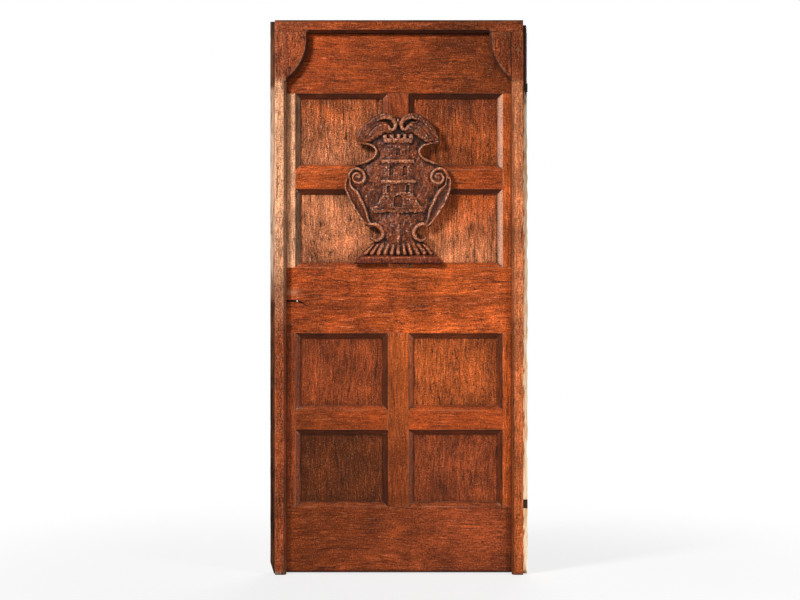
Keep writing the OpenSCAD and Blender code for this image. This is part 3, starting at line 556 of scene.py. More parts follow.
def worn_points(name, seed, axis, raised, p, normals, arris):
    """The points, moved in by open grain, slow swells, dents and breaks."""
    stretched = p / np.array([FIBRE_L, FIBRE_W, FIBRE_W] if axis == "x" else [FIBRE_W, FIBRE_W, FIBRE_L])
    grain = 0.5 + 0.5 * layered(stretched, seed)
    dents = np.clip(layered(p / DENT_SIZE, seed + 7), 0, 1) ** 2
    swells = 0.5 + 0.5 * noise(p / SWELL_SIZE, seed + 11)
    facing = np.clip(np.abs(normals[:, 1]) * 1.6 - 0.4, 0, 1)
    depth = facing * (raised * grain ** 1.6 + SWELL_DEPTH * swells) + arris * DENT_DEPTH * dents
    moved = p - normals * (depth * MM)[:, None]
    if name.startswith("jamb"):
        moved[:, 0] -= np.sign(p[:, 0]) * flange_bite(name, seed, p)
    return moved


def mark_panel(marks, seed, p, front):
    """Painted shade towards the edges of a panel, in the recess under its mouldings, partly in smoky clouds.
    """
    # painted shade near the panel's edges, broken into clouds
    smoke = bordering(p, PANEL_SMOKE) * np.clip(0.45 + 0.9 * layered(p / SMOKE_SIZE, seed + 23), 0, 1)
    corner = np.clip((bordering(p, PANEL_SHADE) - 0.12) * 1.5, 0, 0.8)
    marks["shade_and_grime"] = front * np.maximum(corner, 0.5 * smoke)


def mark_framing(marks, p, normals, front):
    """Painted shade on the bevels round the panels, along the frame and near the floor, and a painted
    highlight on the bevels that face left at the upper right.
    """
    x, y, z = p.T
    nx, ny, nz = normals.T
    bevel = front & (ny > -0.985) & (y > BEVEL_FRONT) & (y < BEVEL_BACK)
    upper = z > MIDDLE
    deep = rise(y, BEVEL_DEEP, BEVEL_FADE)
    # painted highlight on the bevels that face left, in the upper half at the right
    marks["bevel_highlight"] = bevel * upper * leaning(-nx) * (x > HIGHLIGHT_X)
    # painted shade on the bevels: on those facing down, on those facing right in the upper half and left in
    # the lower half, where no light fell, and on the deep part of the others
    shade_and_grime = bevel * np.maximum.reduce([
        0.86 * leaning(-nz),
        0.75 * leaning(nz) * deep,
        leaning(nx) * np.where(upper, 0.84, 0.3 + 0.5 * deep),
        leaning(-nx) * np.where(upper, 0.7 * deep, 0.84),
    ])
    # painted shade on the leaf where it goes behind the frame, and near the floor
    lip = np.clip(1 - (LIP_X - np.abs(x)) / LIP_SHADE_X, 0, 1)
    lip = lip + np.clip(1 - (LIP_Z - z) / LIP_SHADE_Z, 0, 1)
    shade_and_grime = np.maximum(shade_and_grime, front * np.clip(lip, 0, 1) * 0.95)
    marks["shade_and_grime"] = np.maximum(shade_and_grime, np.clip(1 - (z - LEAF_FOOT) / LEAF_FOOT_SHADE, 0, 0.9))


def mark_lock_rail(marks, p, front):
    """The place worn by hands, and painted shade inside the split."""
    x, y, z = p.T
    rub = np.exp(-((x - RUB_X) / RUB_W) ** 2 - ((z - RUB_Z) / RUB_H) ** 2)
    marks["wear"] = np.maximum(marks["wear"], front * rub)
    # painted shade inside the split
    crack = (y > BEVEL_FRONT) & (y < CRACK_BACK) & (x < CRACK_X) & (z > CRACK_LOW) & (z < CRACK_HIGH)
    marks["shade_and_grime"] = np.maximum(marks["shade_and_grime"], crack * 1.0)


def mark_frame(marks, name, p, ny):
    """Painted shade on the frame's inner bevels and at the floor, the stain of the corners, and darkening
    along the top.
    """
    x, _, z = p.T
    inner = z < CHAMFER_Z if name == "frame_head" else np.abs(x) < CHAMFER_X
    # painted shade on the frame's inner bevels, along the gap to the leaf, and at the floor
    shade_and_grime = inner * np.clip((ny + 0.96) * 8, 0, 1) * (0.5 if name.startswith("jamb") else 0.8)
    marks["shade_and_grime"] = np.maximum(shade_and_grime, np.clip(1 - z / FRAME_FOOT_SHADE, 0, 0.8))
    marks["cap"] = rise(z, EAR_Z, EAR_FADE) * rise(np.abs(x), EAR_X, EAR_FADE)
    # darker along the top of the frame
    marks["soot"] = np.clip((z - HEAD_Z) / HEAD_FADE, 0, 0.85)


def mark_flange(marks, name, p, ny):
    """Raw and sooty parts of the right flange, its raw wood brightened partly as painted light; on the left
    flange a pale band, partly worn and partly a painted highlight, dark above and below it, and a raw foot.
    """
    x, _, z = p.T
    flange = (np.abs(x) > FACE_EDGE) & (ny < 0.5)
    if name == "jamb_right":
        skin = SKIN_X + SKIN_RAGGED * layered(p / SKIN_SIZE, 92)
        marks["raw"] = flange * rise(x, skin, SKIN_FADE)
        ragged = SOOT_RAGGED * layered(p / SOOT_SIZE, 91)
        soot = flange * rise(z + ragged, SOOT_Z, SOOT_FADE)
    else:
        # a pale band, partly worn and partly a painted highlight
        pale = rise(z, PALE_FROM, PALE_FROM_FADE) * rise(-z, -PALE_TO, PALE_TO_FADE)
        marks["raw"] = np.maximum(flange * pale, (x < -FOOT_X) * rise(-z, -FOOT_Z, FOOT_FADE))
        soot = flange * (1 - pale)
    marks["soot"] = np.maximum(marks["soot"], soot)


def marks_and_painted_light(name, seed, p, normals, arris):
    """How far each point is worn, painted with shade, stained, raw, sooty, painted with a highlight or bare,
    from 0 to 1.
    """
    ny = normals[:, 1]
    front = ny < -0.2
    marks = {label: np.zeros(len(p)) for label in ("wear", "shade_and_grime", "cap", "raw", "soot", "bevel_highlight", "bare")}
    marks["wear"] = arris * np.where(ny < 0.2, 1.0, 0.3)
    marks["bare"] = (ny > 0.4) * (p[:, 1] > 0) * 0.85
    if name.startswith("panel"):
        mark_panel(marks, seed, p, front)
    elif body_of[name] == "leaf":
        mark_framing(marks, p, normals, front)
    else:
        mark_frame(marks, name, p, ny)
    if name == "lock_rail":
        mark_lock_rail(marks, p, front)
    if name.startswith("jamb"):
        mark_flange(marks, name, p, ny)
    return marks


def worn_piece(name, seed):
    """A dressed copy of a wooden node: rounded arrises, raised grain, dents, marks of age, and painted shade
    and highlight.
    """
    low, high, axis, streak, raised, painted_glints = WOOD[name]
    mesh, normals, turn = rounded_copy(name, axis)
    p = np.array([v.co for v in mesh.vertices])
    arris = np.clip(turn * 9, 0, 1)
    moved = worn_points(name, seed, axis, raised, p, normals, arris)
    mesh.vertices.foreach_set("co", moved.astype(np.float32).ravel())
    mesh.update()
    for label, values in marks_and_painted_light(name, seed, p, normals, arris).items():
        put(mesh, label, values)
    mesh.shade_smooth()
    mesh.set_sharp_from_angle(angle=SHARP_WOOD)
    run = p[:, "xyz".index(axis)]
    span, raw_tones = (run.min(), run.max()), RAW_PALE
    if name == "jamb_left":
        span, raw_tones = LEFT_JAMB_SPAN, RAW_GREY
    start = seed * 1.37 % 9
    mesh.materials.append(wood(name + "_wood", (low, high), axis, start, span, streak, painted_glints, raw_tones))
    piece = bpy.data.objects.new(name + "_worn", mesh)
    bpy.context.scene.collection.objects.link(piece)
    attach(piece, body_of[name])
    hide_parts(name)


for number, name in enumerate(WOOD):
    worn_piece(name, FIRST_SEED + number)


# Iron and pegs

IRON_EASE, IRON_TURN = 0.0007, math.radians(40)  # iron edges that turn more than this are eased
IRON = (
    "pintle_upper", "pintle_lower", "bolt_keeper", "hinge_upper", "hinge_lower", "hinge_nails",
    "bolt_staples", "slide_bolt",
)
PEGS = ("frame_pegs", "leaf_pegs")


def dress(name, material):
    """Gives a node its material."""
    nodes[name].data.materials.clear()
    nodes[name].data.materials.append(material)


iron = forged_iron()
pegs = end_grain()
for name in IRON:
    dress(name, iron)
    eased = nodes[name].modifiers.new("eased", "BEVEL")
    eased.width = IRON_EASE
    eased.segments = 2
    eased.limit_method = "ANGLE"
    eased.angle_limit = IRON_TURN
for name in PEGS:
    dress(name, pegs)


# Carving

# The cartouche is sculpted as relief over a fine grid, in mm. Stations are [across, up, width, height]:
# across and width in per cent of half its width, up in per cent of its height, height in per cent of its
# thickness.
CARVING_W, CARVING_H, CARVING_T = 402.0, 576.0, 29.0
CARVING_AT = (-3.0, -20.5, 1177.0)  # middle of its foot, on the face of the leaf
PITCH = 1.6  # cells of the grid
SIDE_MARGIN, FOOT_MARGIN, TOP_MARGIN = 11, 6, 8  # grid beyond the carving's width and height
SMOOTHING, EDGE_SMOOTHING = 6, 5  # points between two stations, of a band and of the ground's edge
SWAY_FROM, SWAY_FULL = 20, 60  # heights between which the drawing starts to sway
SLOW_SIZE, SLOW_SWAY, QUICK_SIZE, QUICK_SWAY = 55, 2.6, 13, 1.1
ROUGH_SIZE, FINE_SIZE, FINE_DEPTH = 11, 5, 0.8
GOUGE_SIZE, GOUGE_DEPTH, GOUGE_LEFT = [10, 19, 1], 3.2, 0.8  # gouge marks on the ground, and all over
NICK_SIZE, NICK_DEPTH, NICK_ABOVE = 16, 6.0, 17
LEAST_T, MOST_GAP = 2.5, 0.6  # least thickness, and how far the highest point stays below the full one
SHARP_CARVING = math.radians(60)
SIDE_TAIL = [
    [94, 51, 13, 83], [84.5, 45.5, 24, 86], [77, 39.8, 25, 86], [68.5, 34.2, 21, 83],
    [61, 29, 11.9, 79], [53, 25.6, 7, 66],
]
LOBE_BACK = [
    [74, 79.3, 7, 66], [71, 83.5, 11.9, 83], [63.5, 88, 14.4, 90], [53, 92, 14.4, 93], [41, 95.2, 13.9, 93],
    [27, 97.2, 12.9, 93], [14, 96.4, 11.4, 93], [6.5, 93.6, 9, 93], [5.4, 90.8, 7, 93],
    [9, 88.4, 6, 93], [15, 88.6, 5.5, 90], [17.6, 90.6, 4.5, 83],
]
LOBE_SWELL = [
    [66, 80.6, 13, 60], [55, 85, 26, 72], [41, 88.4, 29, 76], [27, 89.8, 23, 72], [15, 87.6, 11, 55],
]
LOBE_CUTS, CUT_W = (8, 21), 2.2  # gouged lines that follow the outline at these distances
SWELL_CUT, BACK_CUT = 4, 3.4  # depth of those lines
NOTCH_EDGE = [
    [76, 79, 3.5, 55], [61, 79.2, 4.5, 76], [48, 77.8, 4.5, 76], [41.5, 75, 4.5, 76], [42, 72, 4.5, 76],
    [47, 69.8, 4.5, 76], [58, 67.6, 4.5, 72], [78, 65, 4, 52],
]
TAIL_SCROLL = [
    [60, 26, 6, 55], [45, 26, 9, 79], [34, 24, 9.5, 86], [28.5, 20.4, 9, 90], [33, 17, 8, 86],
    [43, 15.7, 7, 83], [51.5, 16.8, 6, 76], [50.5, 19, 5, 62],
]
GROUND_EDGE = [
    [0, 5], [60, 5], [50, 13], [34, 18.5], [42, 24.5], [62, 30], [80, 40], [91, 49], [93, 57],
    [80, 64], [60, 68], [43, 73], [48, 78], [73, 80], [64, 88], [41, 95], [14, 96], [4, 93],
    [1.5, 92], [0, 92],
]
GROUND_T, GROUND_SUNK, GROUND_RISE, GROUND_RUN = 14.0, 6, 3, 40
TOWER_COURSES = [
    [53, 34, 37.4, 72], [30, 36.6, 54.9, 90], [33, 53.2, 55.6, 97],
    [28.5, 55, 68, 86], [31, 66.4, 68.8, 93], [22.5, 68.2, 80.4, 83], [27.5, 79.6, 82.4, 90],
]
CORNICE_MOST, WALL_BACK = 4, 4  # a course taller than this per cent is a wall, set back this far in mm
CANT_SHARE, CANT_DEPTH = 0.42, 7  # the sides of a course fall back
TOWER_OPENINGS = [
    [0, 8.4, 37.8, 45.6], [-19, 3.4, 47.2, 52], [19, 3.4, 47.2, 52], [-13, 4.4, 58.6, 64.8],
    [13, 4.4, 58.6, 64.8], [0, 4, 71.4, 76.4],
]
OPENING_DEPTH, OPENING_EXTRA, SURROUND_W, SURROUND_RISE = 31, 5, 3, 1.4
BUTTRESS = [[0, 36.8], [46, 36.8], [29, 46], [0, 46]]
BUTTRESS_H, BUTTRESS_FALL, BUTTRESS_EDGE = 76, 3, 5
MERLONS, MERLON = 5, [3.4, 82.2, 85, 83]
STONE_H, STONE_W, JOINT_DEPTH = 11, 21, 2.1
JOINT_LIES, JOINT_STANDS = 0.4, 0.44  # a joint starts at this share of a stone from its middle
VOLUTE_C, VOLUTE_R, VOLUTE_TURNS, VOLUTE_POINTS = (77, 57), 36.0, 1.5, 70
VOLUTE_INNER, VOLUTE_WIDER = 4.5, 3.0  # radius and width of the inner end, and what the outer is wider
VOLUTE_H, VOLUTE_FALL, DISC_H, DISC_RISE = 93, 10, 52, 6
EYE_R, EYE_H, EYE_RISE = 3.6, 80, 3
PLINTH = [[84, 0], [72, 5.6]]
PLINTH_SECTION = [[0, 0.66], [0.2, 0.86], [0.75, 0.86], [1, 0.62]]
GADROONS, GADROON_ROWS, GADROON_RISE = 11, [[62, 7, 5.5], [48, 12.6, 4.2]], 2.0
BOSS_Z, BOSS_W, BOSS_TALL, BOSS_H = 24, 46, 12.5, 86
KEEL_RISE, KEEL_W, KEEL_SUNK = 5, 7, 2
DROP_Z, DROP_W, DROP_TALL, DROP_H = 94.2, 3.6, 3.4, 88


def across(u):
    return u * CARVING_W / 200


def up(v):
    return v * CARVING_H / 100


def proud(h):
    return h * CARVING_T / 100


def step(low, high, v):
    """Smooth step from 0 at low to 1 at high."""
    f = np.clip((v - low) / (high - low), 0, 1)
    return f * f * (3 - 2 * f)


def smooth(keys, steps):
    """Smooth run through key rows."""
    k = np.array(keys, float)
    last = len(k) - 1
    rows = []
    for i in range(last):
        a, b, c, d = k[max(i - 1, 0)], k[i], k[i + 1], k[min(i + 2, last)]
        for j in range(steps):
            f = j / steps
            square = 2 * a - 5 * b + 4 * c - d
            cube = 3 * b - a - 3 * c + d
            rows.append((2 * b + (c - a) * f + square * f ** 2 + cube * f ** 3) / 2)
    rows.append(k[last])
    return np.array(rows)


def outlined(keys):
    return [[across(a), up(b)] for a, b in keys]


def stationed(keys):
    return [[across(a), up(b), across(w), proud(h)] for a, b, w, h in keys]


def swept(path, x, y):
    """Distance from a band's middle as a share of its half width, its half width and its height."""
    share = np.full(x.shape, 1e6)
    half, height = np.ones(x.shape), np.zeros(x.shape)
    for a, b in zip(path[:-1], path[1:]):
        d = b - a
        f = np.clip(((x - a[0]) * d[0] + (y - a[1]) * d[1]) / (d[0] ** 2 + d[1] ** 2 + 1e-9), 0, 1)
        w = (a[2] + f * d[2]) / 2
        s = np.hypot(x - a[0] - f * d[0], y - a[1] - f * d[1]) / w
        near = s < share
        share[near], half[near], height[near] = s[near], w[near], (a[3] + f * d[3])[near]
    return share, half, height


def inside(polygon, x, y):
    """Distance inside a polygon, negative outside it."""
    gap = np.full(x.shape, 1e6)
    odd = np.zeros(x.shape, bool)
    for a, b in zip(polygon, np.roll(polygon, -1, 0)):
        d = b - a
        f = np.clip(((x - a[0]) * d[0] + (y - a[1]) * d[1]) / (d @ d + 1e-9), 0, 1)
        gap = np.minimum(gap, np.hypot(x - a[0] - f * d[0], y - a[1] - f * d[1]))
        crosses = (a[1] > y) != (b[1] > y)
        odd ^= crosses & (x < a[0] + (y - a[1]) * d[0] / (d[1] if abs(d[1]) > 1e-9 else 1e-9))
    return np.where(odd, gap, -gap)


def blurred(field, reach):
    """Three box averages over 2 reach + 1 cells, both ways."""
    n = 2 * reach + 1
    for _ in range(3):
        for way in (0, 1):
            wide = np.pad(field, [(reach + 1, reach) if w == way else (0, 0) for w in (0, 1)], mode="edge")
            total = np.cumsum(wide, way)
            ends = np.take(total, range(n, total.shape[way]), way)
            starts = np.take(total, range(total.shape[way] - n), way)
            field = (ends - starts) / n
    return field


def rounded(share):
    return 0.5 + 0.5 * np.sqrt(np.clip(1 - share ** 2, 0, 1))


def rimmed(share):
    """A shallow gutter between two rims, falling off outside them."""
    return 0.64 + 0.36 * step(0.3, 0.74, share) - 0.4 * step(0.88, 1.0, share)


def ribbed(share):
    return np.sqrt(np.clip(1 - share ** 2, 0, 1))


class Relief:
    """Height over the leaf and distance inside the outline, over a grid, joined piece by piece.

    The drawing sways a little, except at the foot: signed and y are where it lies in the drawing, and x is
    signed without its sign, for what is the same on both sides.
    """

    def __init__(self):
        side = CARVING_W / 2 + SIDE_MARGIN
        xs = np.arange(-side, side + PITCH, PITCH)
        ys = np.arange(-FOOT_MARGIN, CARVING_H + TOP_MARGIN, PITCH)
        self.gx, self.gy = np.meshgrid(xs, ys, indexing="ij")
        self.flat = np.stack([self.gx.ravel(), self.gy.ravel(), np.zeros(self.gx.size)], 1)
        upright = step(SWAY_FROM, SWAY_FULL, self.gy)
        self.signed = self.gx + self.sway(71, 81) * upright
        self.x = np.abs(self.signed)
        self.y = self.gy + self.sway(72, 82) * upright
        self.rough = self.grid(layered(self.flat / ROUGH_SIZE, 73))
        self.gouged = self.grid(layered(self.flat / GOUGE_SIZE, 76))
        self.height = np.zeros(self.x.shape)
        self.reach = np.full(self.x.shape, -1e3)

    def grid(self, values):
        return values.reshape(self.gx.shape)

    def sway(self, slow, quick):
        wide = noise(self.flat / SLOW_SIZE, slow) * SLOW_SWAY
        return self.grid(wide + noise(self.flat / QUICK_SIZE, quick) * QUICK_SWAY)

    def join(self, reach, height):
        self.reach = np.maximum(self.reach, reach)
        self.height = np.maximum(self.height, np.where(reach > 0, height, 0))

    def sweep(self, path, profile):
        """Joins a band on each side."""
        share, wide, tall = swept(path, self.x, self.y)
        self.join(wide * (1 - share), tall * profile(share))


def carve_ground(relief):
    """The gouged ground of the shield, and the swelling boss with its keel under the tower."""
    half = smooth(outlined(GROUND_EDGE), EDGE_SMOOTHING)
    reach = inside(np.concatenate([half, half[::-1] * [-1, 1]]), relief.signed, relief.y)
    lift = GROUND_T - GROUND_SUNK + GROUND_RISE * step(0, GROUND_RUN, reach)
    relief.join(reach, lift + relief.rough + GOUGE_DEPTH * relief.gouged)
    swell = 1 - (relief.x / across(BOSS_W)) ** 2 - ((relief.y - up(BOSS_Z)) / up(BOSS_TALL)) ** 2
    keel = KEEL_RISE * np.exp(-(relief.x / KEEL_W) ** 2) + 2.6 * relief.rough
    keel = keel + 2.5 * relief.gouged - KEEL_SUNK
    dome = proud(BOSS_H) * np.sqrt(np.clip(swell, 0, 1)) * 0.96
    relief.join(np.minimum(reach, np.where(swell > 0, 50, -50)), dome + keel * (swell > 0.1))
    return reach


def tower_walls(x, y):
    """Courses, buttresses and merlons of the tower."""
    wall = np.zeros(x.shape)
    for w, foot, top, h in TOWER_COURSES:
        half, tall = across(w), proud(h)
        if top - foot > CORNICE_MOST:
            tall -= WALL_BACK
        cant = np.clip((half - np.abs(x)) / (CANT_SHARE * half), 0, 1)
        here = (np.abs(x) < half) & (y > up(foot)) & (y < up(top))
        wall = np.maximum(wall, here * (tall - CANT_DEPTH * (1 - cant) ** 2))
    slope = inside(np.array(outlined(BUTTRESS)), np.abs(x), y)
    buttress = proud(BUTTRESS_H) - BUTTRESS_FALL * step(BUTTRESS_EDGE, 0, slope)
    wall = np.maximum(wall, np.where(slope > 0, buttress, 0))
    half, foot, top, tall = MERLON
    pitch = (TOWER_COURSES[-1][0] - half) * 2 / (MERLONS - 1)
    for k in range(MERLONS):
        middle = across((k - (MERLONS - 1) / 2) * pitch)
        here = (np.abs(x - middle) < across(half)) & (y > up(foot)) & (y < up(top))
        wall = np.maximum(wall, here * proud(tall))
    return wall


def carve_tower(relief):
    """Three stages of masonry with cornices, battlements, windows and a door."""
    x, y = relief.signed, relief.y
    wall = tower_walls(x, y)
    row = np.floor(y / STONE_H)
    lie = np.abs((y / STONE_H) % 1 - 0.5) > JOINT_LIES
    stand = np.abs(((x / STONE_W) + 0.5 * (row % 2)) % 1 - 0.5) > JOINT_STANDS
    wall = wall - JOINT_DEPTH * (wall > 0) * (lie | stand)
    for a, w, sill, crown in TOWER_OPENINGS:
        half = across(w)
        spring = up(crown) - half
        arch = half - np.hypot(x - across(a), y - spring)
        away = np.where(y > spring, arch, half - np.abs(x - across(a)))
        away = np.minimum(away, y - up(sill))
        wall = np.where(away > 0, np.minimum(wall, CARVING_T - proud(OPENING_DEPTH) - OPENING_EXTRA), wall)
        wall = np.where((away <= 0) & (away > -SURROUND_W) & (wall > 0), wall + SURROUND_RISE, wall)
    relief.height = np.maximum(relief.height, np.where(relief.reach > 0, wall, 0))


def carve_lobes(relief, reach):
    """The two leaf lobes at the top with the drop between them, the notches and the scrolled tails."""
    cuts = sum(np.exp(-((reach - at) / CUT_W) ** 2) for at in LOBE_CUTS)
    share, wide, tall = swept(smooth(stationed(LOBE_SWELL), SMOOTHING), relief.x, relief.y)
    bulge = 1.14 * tall * (1 - 0.45 * share ** 6) - SWELL_CUT * cuts
    relief.join(np.minimum(wide * (1 - share), reach), bulge)
    share, wide, tall = swept(smooth(stationed(LOBE_BACK), SMOOTHING), relief.x, relief.y)
    relief.join(wide * (1 - share), tall * (1 - 0.3 * share ** 6) - BACK_CUT * cuts)
    for keys in (NOTCH_EDGE, TAIL_SCROLL):
        relief.sweep(smooth(stationed(keys), SMOOTHING), rounded)
    drop = 1 - np.hypot(relief.x / across(DROP_W), (relief.y - up(DROP_Z)) / up(DROP_TALL))
    relief.join(across(DROP_W) * drop, proud(DROP_H) * rounded(1 - np.clip(drop, 0, 1)))


def carve_volutes(relief):
    """The side scrolls: a disc, a spiral band, its tail and its eye."""
    cx, cy = across(VOLUTE_C[0]), up(VOLUTE_C[1])
    turns = np.linspace(0, 1, VOLUTE_POINTS)
    angle = 2 * np.pi * VOLUTE_TURNS * (1 - turns)
    radius = across(VOLUTE_INNER) + (VOLUTE_R - across(VOLUTE_INNER)) * turns
    width = across(VOLUTE_INNER + VOLUTE_WIDER * turns)
    tall = proud(VOLUTE_H - VOLUTE_FALL * turns)
    spiral = np.stack([cx + radius * np.cos(angle), cy + radius * np.sin(angle), width, tall], 1)
    from_eye = np.hypot(relief.x - cx, relief.y - cy)
    disc = VOLUTE_R - from_eye
    relief.join(disc, proud(DISC_H) + DISC_RISE * step(0, VOLUTE_R, disc))
    relief.sweep(spiral, rounded)
    relief.sweep(smooth([spiral[-1].tolist(), *stationed(SIDE_TAIL)], SMOOTHING), rimmed)
    eye = across(EYE_R) - from_eye
    relief.join(eye, proud(EYE_H) + EYE_RISE * step(0, across(EYE_R), eye))


def carve_foot(relief):
    """The fan of gadroons and the moulded plinth under it."""
    for k in range(GADROONS):
        fan = 2 * k / (GADROONS - 1) - 1
        path = np.array([
            [across(fan * a), up(b), 2 * across(w), GADROON_RISE * across(w)] for a, b, w in GADROON_ROWS
        ])
        share, wide, tall = swept(path, relief.signed, relief.y)
        relief.join(wide * (1 - share), tall * ribbed(share))
    (foot, _), (top, tall) = PLINTH
    rising = relief.y / up(tall)
    side = across(foot) + (across(top) - across(foot)) * np.clip(rising, 0, 1)
    reach = np.minimum(side - relief.x, np.minimum(relief.y, up(tall) - relief.y))
    section = np.array(PLINTH_SECTION)
    relief.join(reach, np.interp(rising, section[:, 0], section[:, 1]) * CARVING_T)


def local_mean(field, kept, reach):
    """Mean of a field round each cell, over the kept cells only."""
    return blurred(np.where(kept, field, 0), reach) / np.maximum(blurred(kept.astype(float), reach), 1e-6)


def weathered_height(relief):
    """The relief, softened, roughened and nicked, and how far each cell stands out of its surroundings."""
    kept = relief.reach > 0
    height = np.where(kept, 0.55 * relief.height + 0.45 * local_mean(relief.height, kept, 1), 0)
    fine = relief.grid(layered(relief.flat / FINE_SIZE, 74))
    nick = np.clip(relief.grid(layered(relief.flat / NICK_SIZE, 75)) - 0.2, 0, 1)
    nicked = NICK_DEPTH * nick * (height > NICK_ABOVE)
    height = height + FINE_DEPTH * fine + GOUGE_LEFT * relief.gouged - nicked
    height = np.clip(height, LEAST_T, CARVING_T - MOST_GAP)
    near = height - local_mean(height, kept, 2)
    far = height - local_mean(height, kept, 7)
    return height, np.clip(0.5 + 0.085 * near + 0.04 * far, 0, 1)


def outer_points(relief, rim):
    """The grid, with the points on the rim moved out to where the reach is nothing."""
    slope_x, slope_y = np.gradient(np.clip(relief.reach, -8, 8), PITCH)
    steep = np.maximum(np.hypot(slope_x, slope_y), 0.5)
    out_by = np.where(rim, np.clip(relief.reach, 0, 1.2 * PITCH), 0)
    return relief.gx - slope_x / steep * out_by, np.maximum(relief.gy - slope_y / steep * out_by, 0)


def close_back(mesh):
    """Gives the relief walls down to the face of the leaf, and a back."""
    bm = bmesh.new()
    bm.from_mesh(mesh)
    border = [e for e in bm.edges if e.is_boundary]
    for made in bmesh.ops.extrude_edge_only(bm, edges=border)["geom"]:
        if isinstance(made, bmesh.types.BMVert):
            made.co.y = CARVING_AT[1] * MM
    bmesh.ops.triangle_fill(bm, use_beauty=True, edges=[e for e in bm.edges if e.is_boundary])
    bmesh.ops.recalc_face_normals(bm, faces=bm.faces[:])
    bm.to_mesh(mesh)
    bm.free()


def carving_mesh(relief):
    """Closed mesh of the relief, with its cuts, its arrises and its plinth marked."""
    height, cavity = weathered_height(relief)
    kept = relief.reach > 0
    quads = kept[:-1, :-1] & kept[1:, :-1] & kept[:-1, 1:] & kept[1:, 1:]
    used = np.zeros(kept.shape, bool)
    whole = np.ones(kept.shape, bool)
    for i, j in ((0, 0), (1, 0), (0, 1), (1, 1)):
        part = (slice(i, kept.shape[0] - 1 + i), slice(j, kept.shape[1] - 1 + j))
        used[part] |= quads
        whole[part] &= quads
    px, py = outer_points(relief, used & ~whole)
    index = np.full(kept.shape, -1)
    index[used] = np.arange(used.sum())
    points = np.stack([
        CARVING_AT[0] + px[used], CARVING_AT[1] - height[used], CARVING_AT[2] + py[used],
    ], 1) * MM
    i, j = np.nonzero(quads)
    faces = np.stack([index[i, j], index[i + 1, j], index[i + 1, j + 1], index[i, j + 1]], 1)
    mesh = bpy.data.meshes.new("cartouche_carving")
    mesh.from_pydata(points.tolist(), [], faces.tolist())
    put(mesh, "cavity", cavity[used])
    put(mesh, "plinth", (relief.gy[used] < up(PLINTH[1][1])) * 1.0)
    close_back(mesh)
    mesh.shade_smooth()
    mesh.set_sharp_from_angle(angle=SHARP_CARVING)
    return mesh


def carve():
    """The whole cartouche, piece by piece."""
    relief = Relief()
    reach = carve_ground(relief)
    carve_tower(relief)
    carve_lobes(relief, reach)
    carve_volutes(relief)
    carve_foot(relief)
    return carving_mesh(relief)


cartouche = bpy.data.objects.new("cartouche_carving", carve())
bpy.context.scene.collection.objects.link(cartouche)
cartouche.data.materials.append(carved_wood())
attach(cartouche, "leaf")
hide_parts("carved_cartouche")


# Stage, light and camera

WHITE, FLOOR_GREY = (1, 1, 1, 1), (0.86, 0.86, 0.86, 1)
FLOOR_SIZE = 60.0
FADE_FROM, FADE_TO, FADE_LEAST = 0.5, 2.4, 0.7  # the floor fades to white between these distances
SOFT_LIGHT, SEEN_LIGHT = 0.17, 1.0  # strength of the white round the door, as light and as seen
PHOTO_W, PIXEL = 800, 0.003784  # width of the photo in pixels, and metres to the pixel at the front
VIEW_X, VIEW_Z = 0.0038, 1.0406  # where the middle of the photo lies
DISTANCE, SENSOR = 6.0, 36


def directly_seen(t):
    """1 for rays that show a thing, in view, in a reflection or through glass, 0 for those that light."""
    ray = t.add("ShaderNodeLightPath")
    seen = t.most(ray.outputs["Is Camera Ray"], ray.outputs["Is Glossy Ray"])
    return t.most(seen, ray.outputs["Is Transmission Ray"])


def pale_floor():
    """A matt floor that shows a faint shadow and fades to white."""
    t = new_tree("pale_floor")
    matt = t.add("ShaderNodeBsdfDiffuse", {"Color": FLOOR_GREY})
    glow = t.add("ShaderNodeEmission", {"Color": WHITE, "Strength": SEEN_LIGHT})
    far = t.add("ShaderNodeVectorMath", {0: t.place()}, operation="LENGTH").outputs["Value"]
    share = t.times(directly_seen(t), t.ramp(far, FADE_FROM, FADE_TO, FADE_LEAST, 1.0))
    both = t.add("ShaderNodeMixShader", {0: share, 1: matt.outputs[0], 2: glow.outputs[0]})
    t.add("ShaderNodeOutputMaterial", {0: both.outputs[0]})
    return t.owner


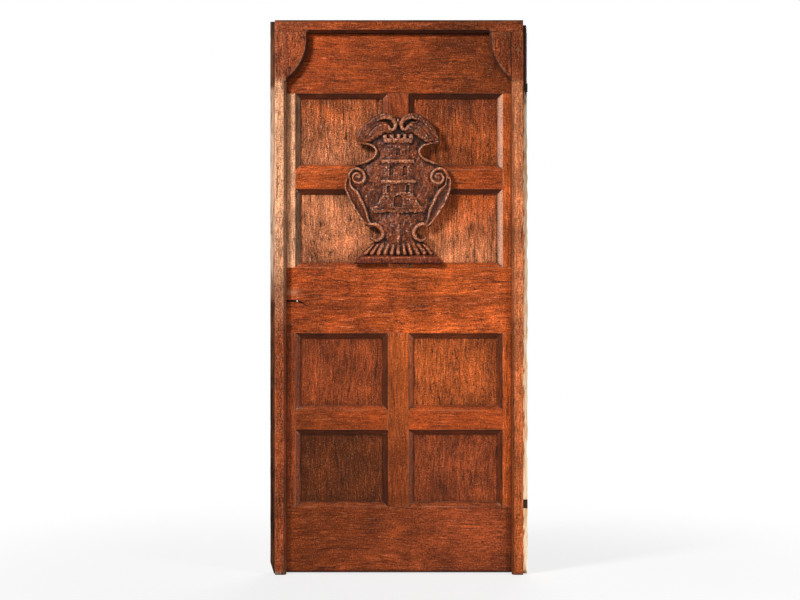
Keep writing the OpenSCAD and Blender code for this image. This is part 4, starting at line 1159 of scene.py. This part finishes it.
def studio():
    """A white world that gives only a soft light."""
    t = Tree(bpy.data.worlds.new("studio"))
    soft = t.add("ShaderNodeBackground", {0: WHITE, 1: SOFT_LIGHT})
    white = t.add("ShaderNodeBackground", {0: WHITE, 1: SEEN_LIGHT})
    both = t.add("ShaderNodeMixShader", {0: directly_seen(t), 1: soft.outputs[0], 2: white.outputs[0]})
    t.add("ShaderNodeOutputWorld", {0: both.outputs[0]})
    return t.owner


def lamp(name, place, aim, size, power, spread):
    """A square lamp: where it stands and aims, its size in metres, watts and spread in degrees."""
    data = bpy.data.lights.new(name, "AREA")
    data.shape = "RECTANGLE"
    data.size = size
    data.size_y = size
    data.energy = power
    data.spread = math.radians(spread)
    piece = bpy.data.objects.new(name, data)
    bpy.context.scene.collection.objects.link(piece)
    piece.location = place
    piece.rotation_mode = "QUATERNION"
    piece.rotation_quaternion = (Vector(aim) - Vector(place)).to_track_quat("-Z", "Y")


corners = [(x * FLOOR_SIZE, y * FLOOR_SIZE, 0.0) for x, y in ((-1, -1), (1, -1), (1, 1), (-1, 1))]
floor = bpy.data.objects.new("floor", bpy.data.meshes.new("floor"))
floor.data.from_pydata(corners, [], [(0, 1, 2, 3)])
floor.data.materials.append(pale_floor())
bpy.context.scene.collection.objects.link(floor)

bpy.context.scene.world = studio()
lamp("key_left", place=(-2.7, -2.6, 3.5), aim=(0, 0, 1.5), size=0.9, power=37, spread=75)
lamp("low_right", place=(3.0, -2.5, 0.9), aim=(0, 0, 0.2), size=0.9, power=11, spread=62)
lamp("behind", place=(0.6, 3.2, 2.6), aim=(0, 0, 1.0), size=2.0, power=40, spread=120)

camera = bpy.data.objects.new("camera", bpy.data.cameras.new("camera"))
bpy.context.scene.collection.objects.link(camera)
camera.location = (VIEW_X, FRONT - DISTANCE, VIEW_Z)
camera.rotation_euler = (math.pi / 2, 0, 0)
camera.data.sensor_width = SENSOR
camera.data.lens = SENSOR * DISTANCE / (PHOTO_W * PIXEL)
bpy.context.scene.camera = camera
bpy.context.scene.view_settings.view_transform = "Standard"
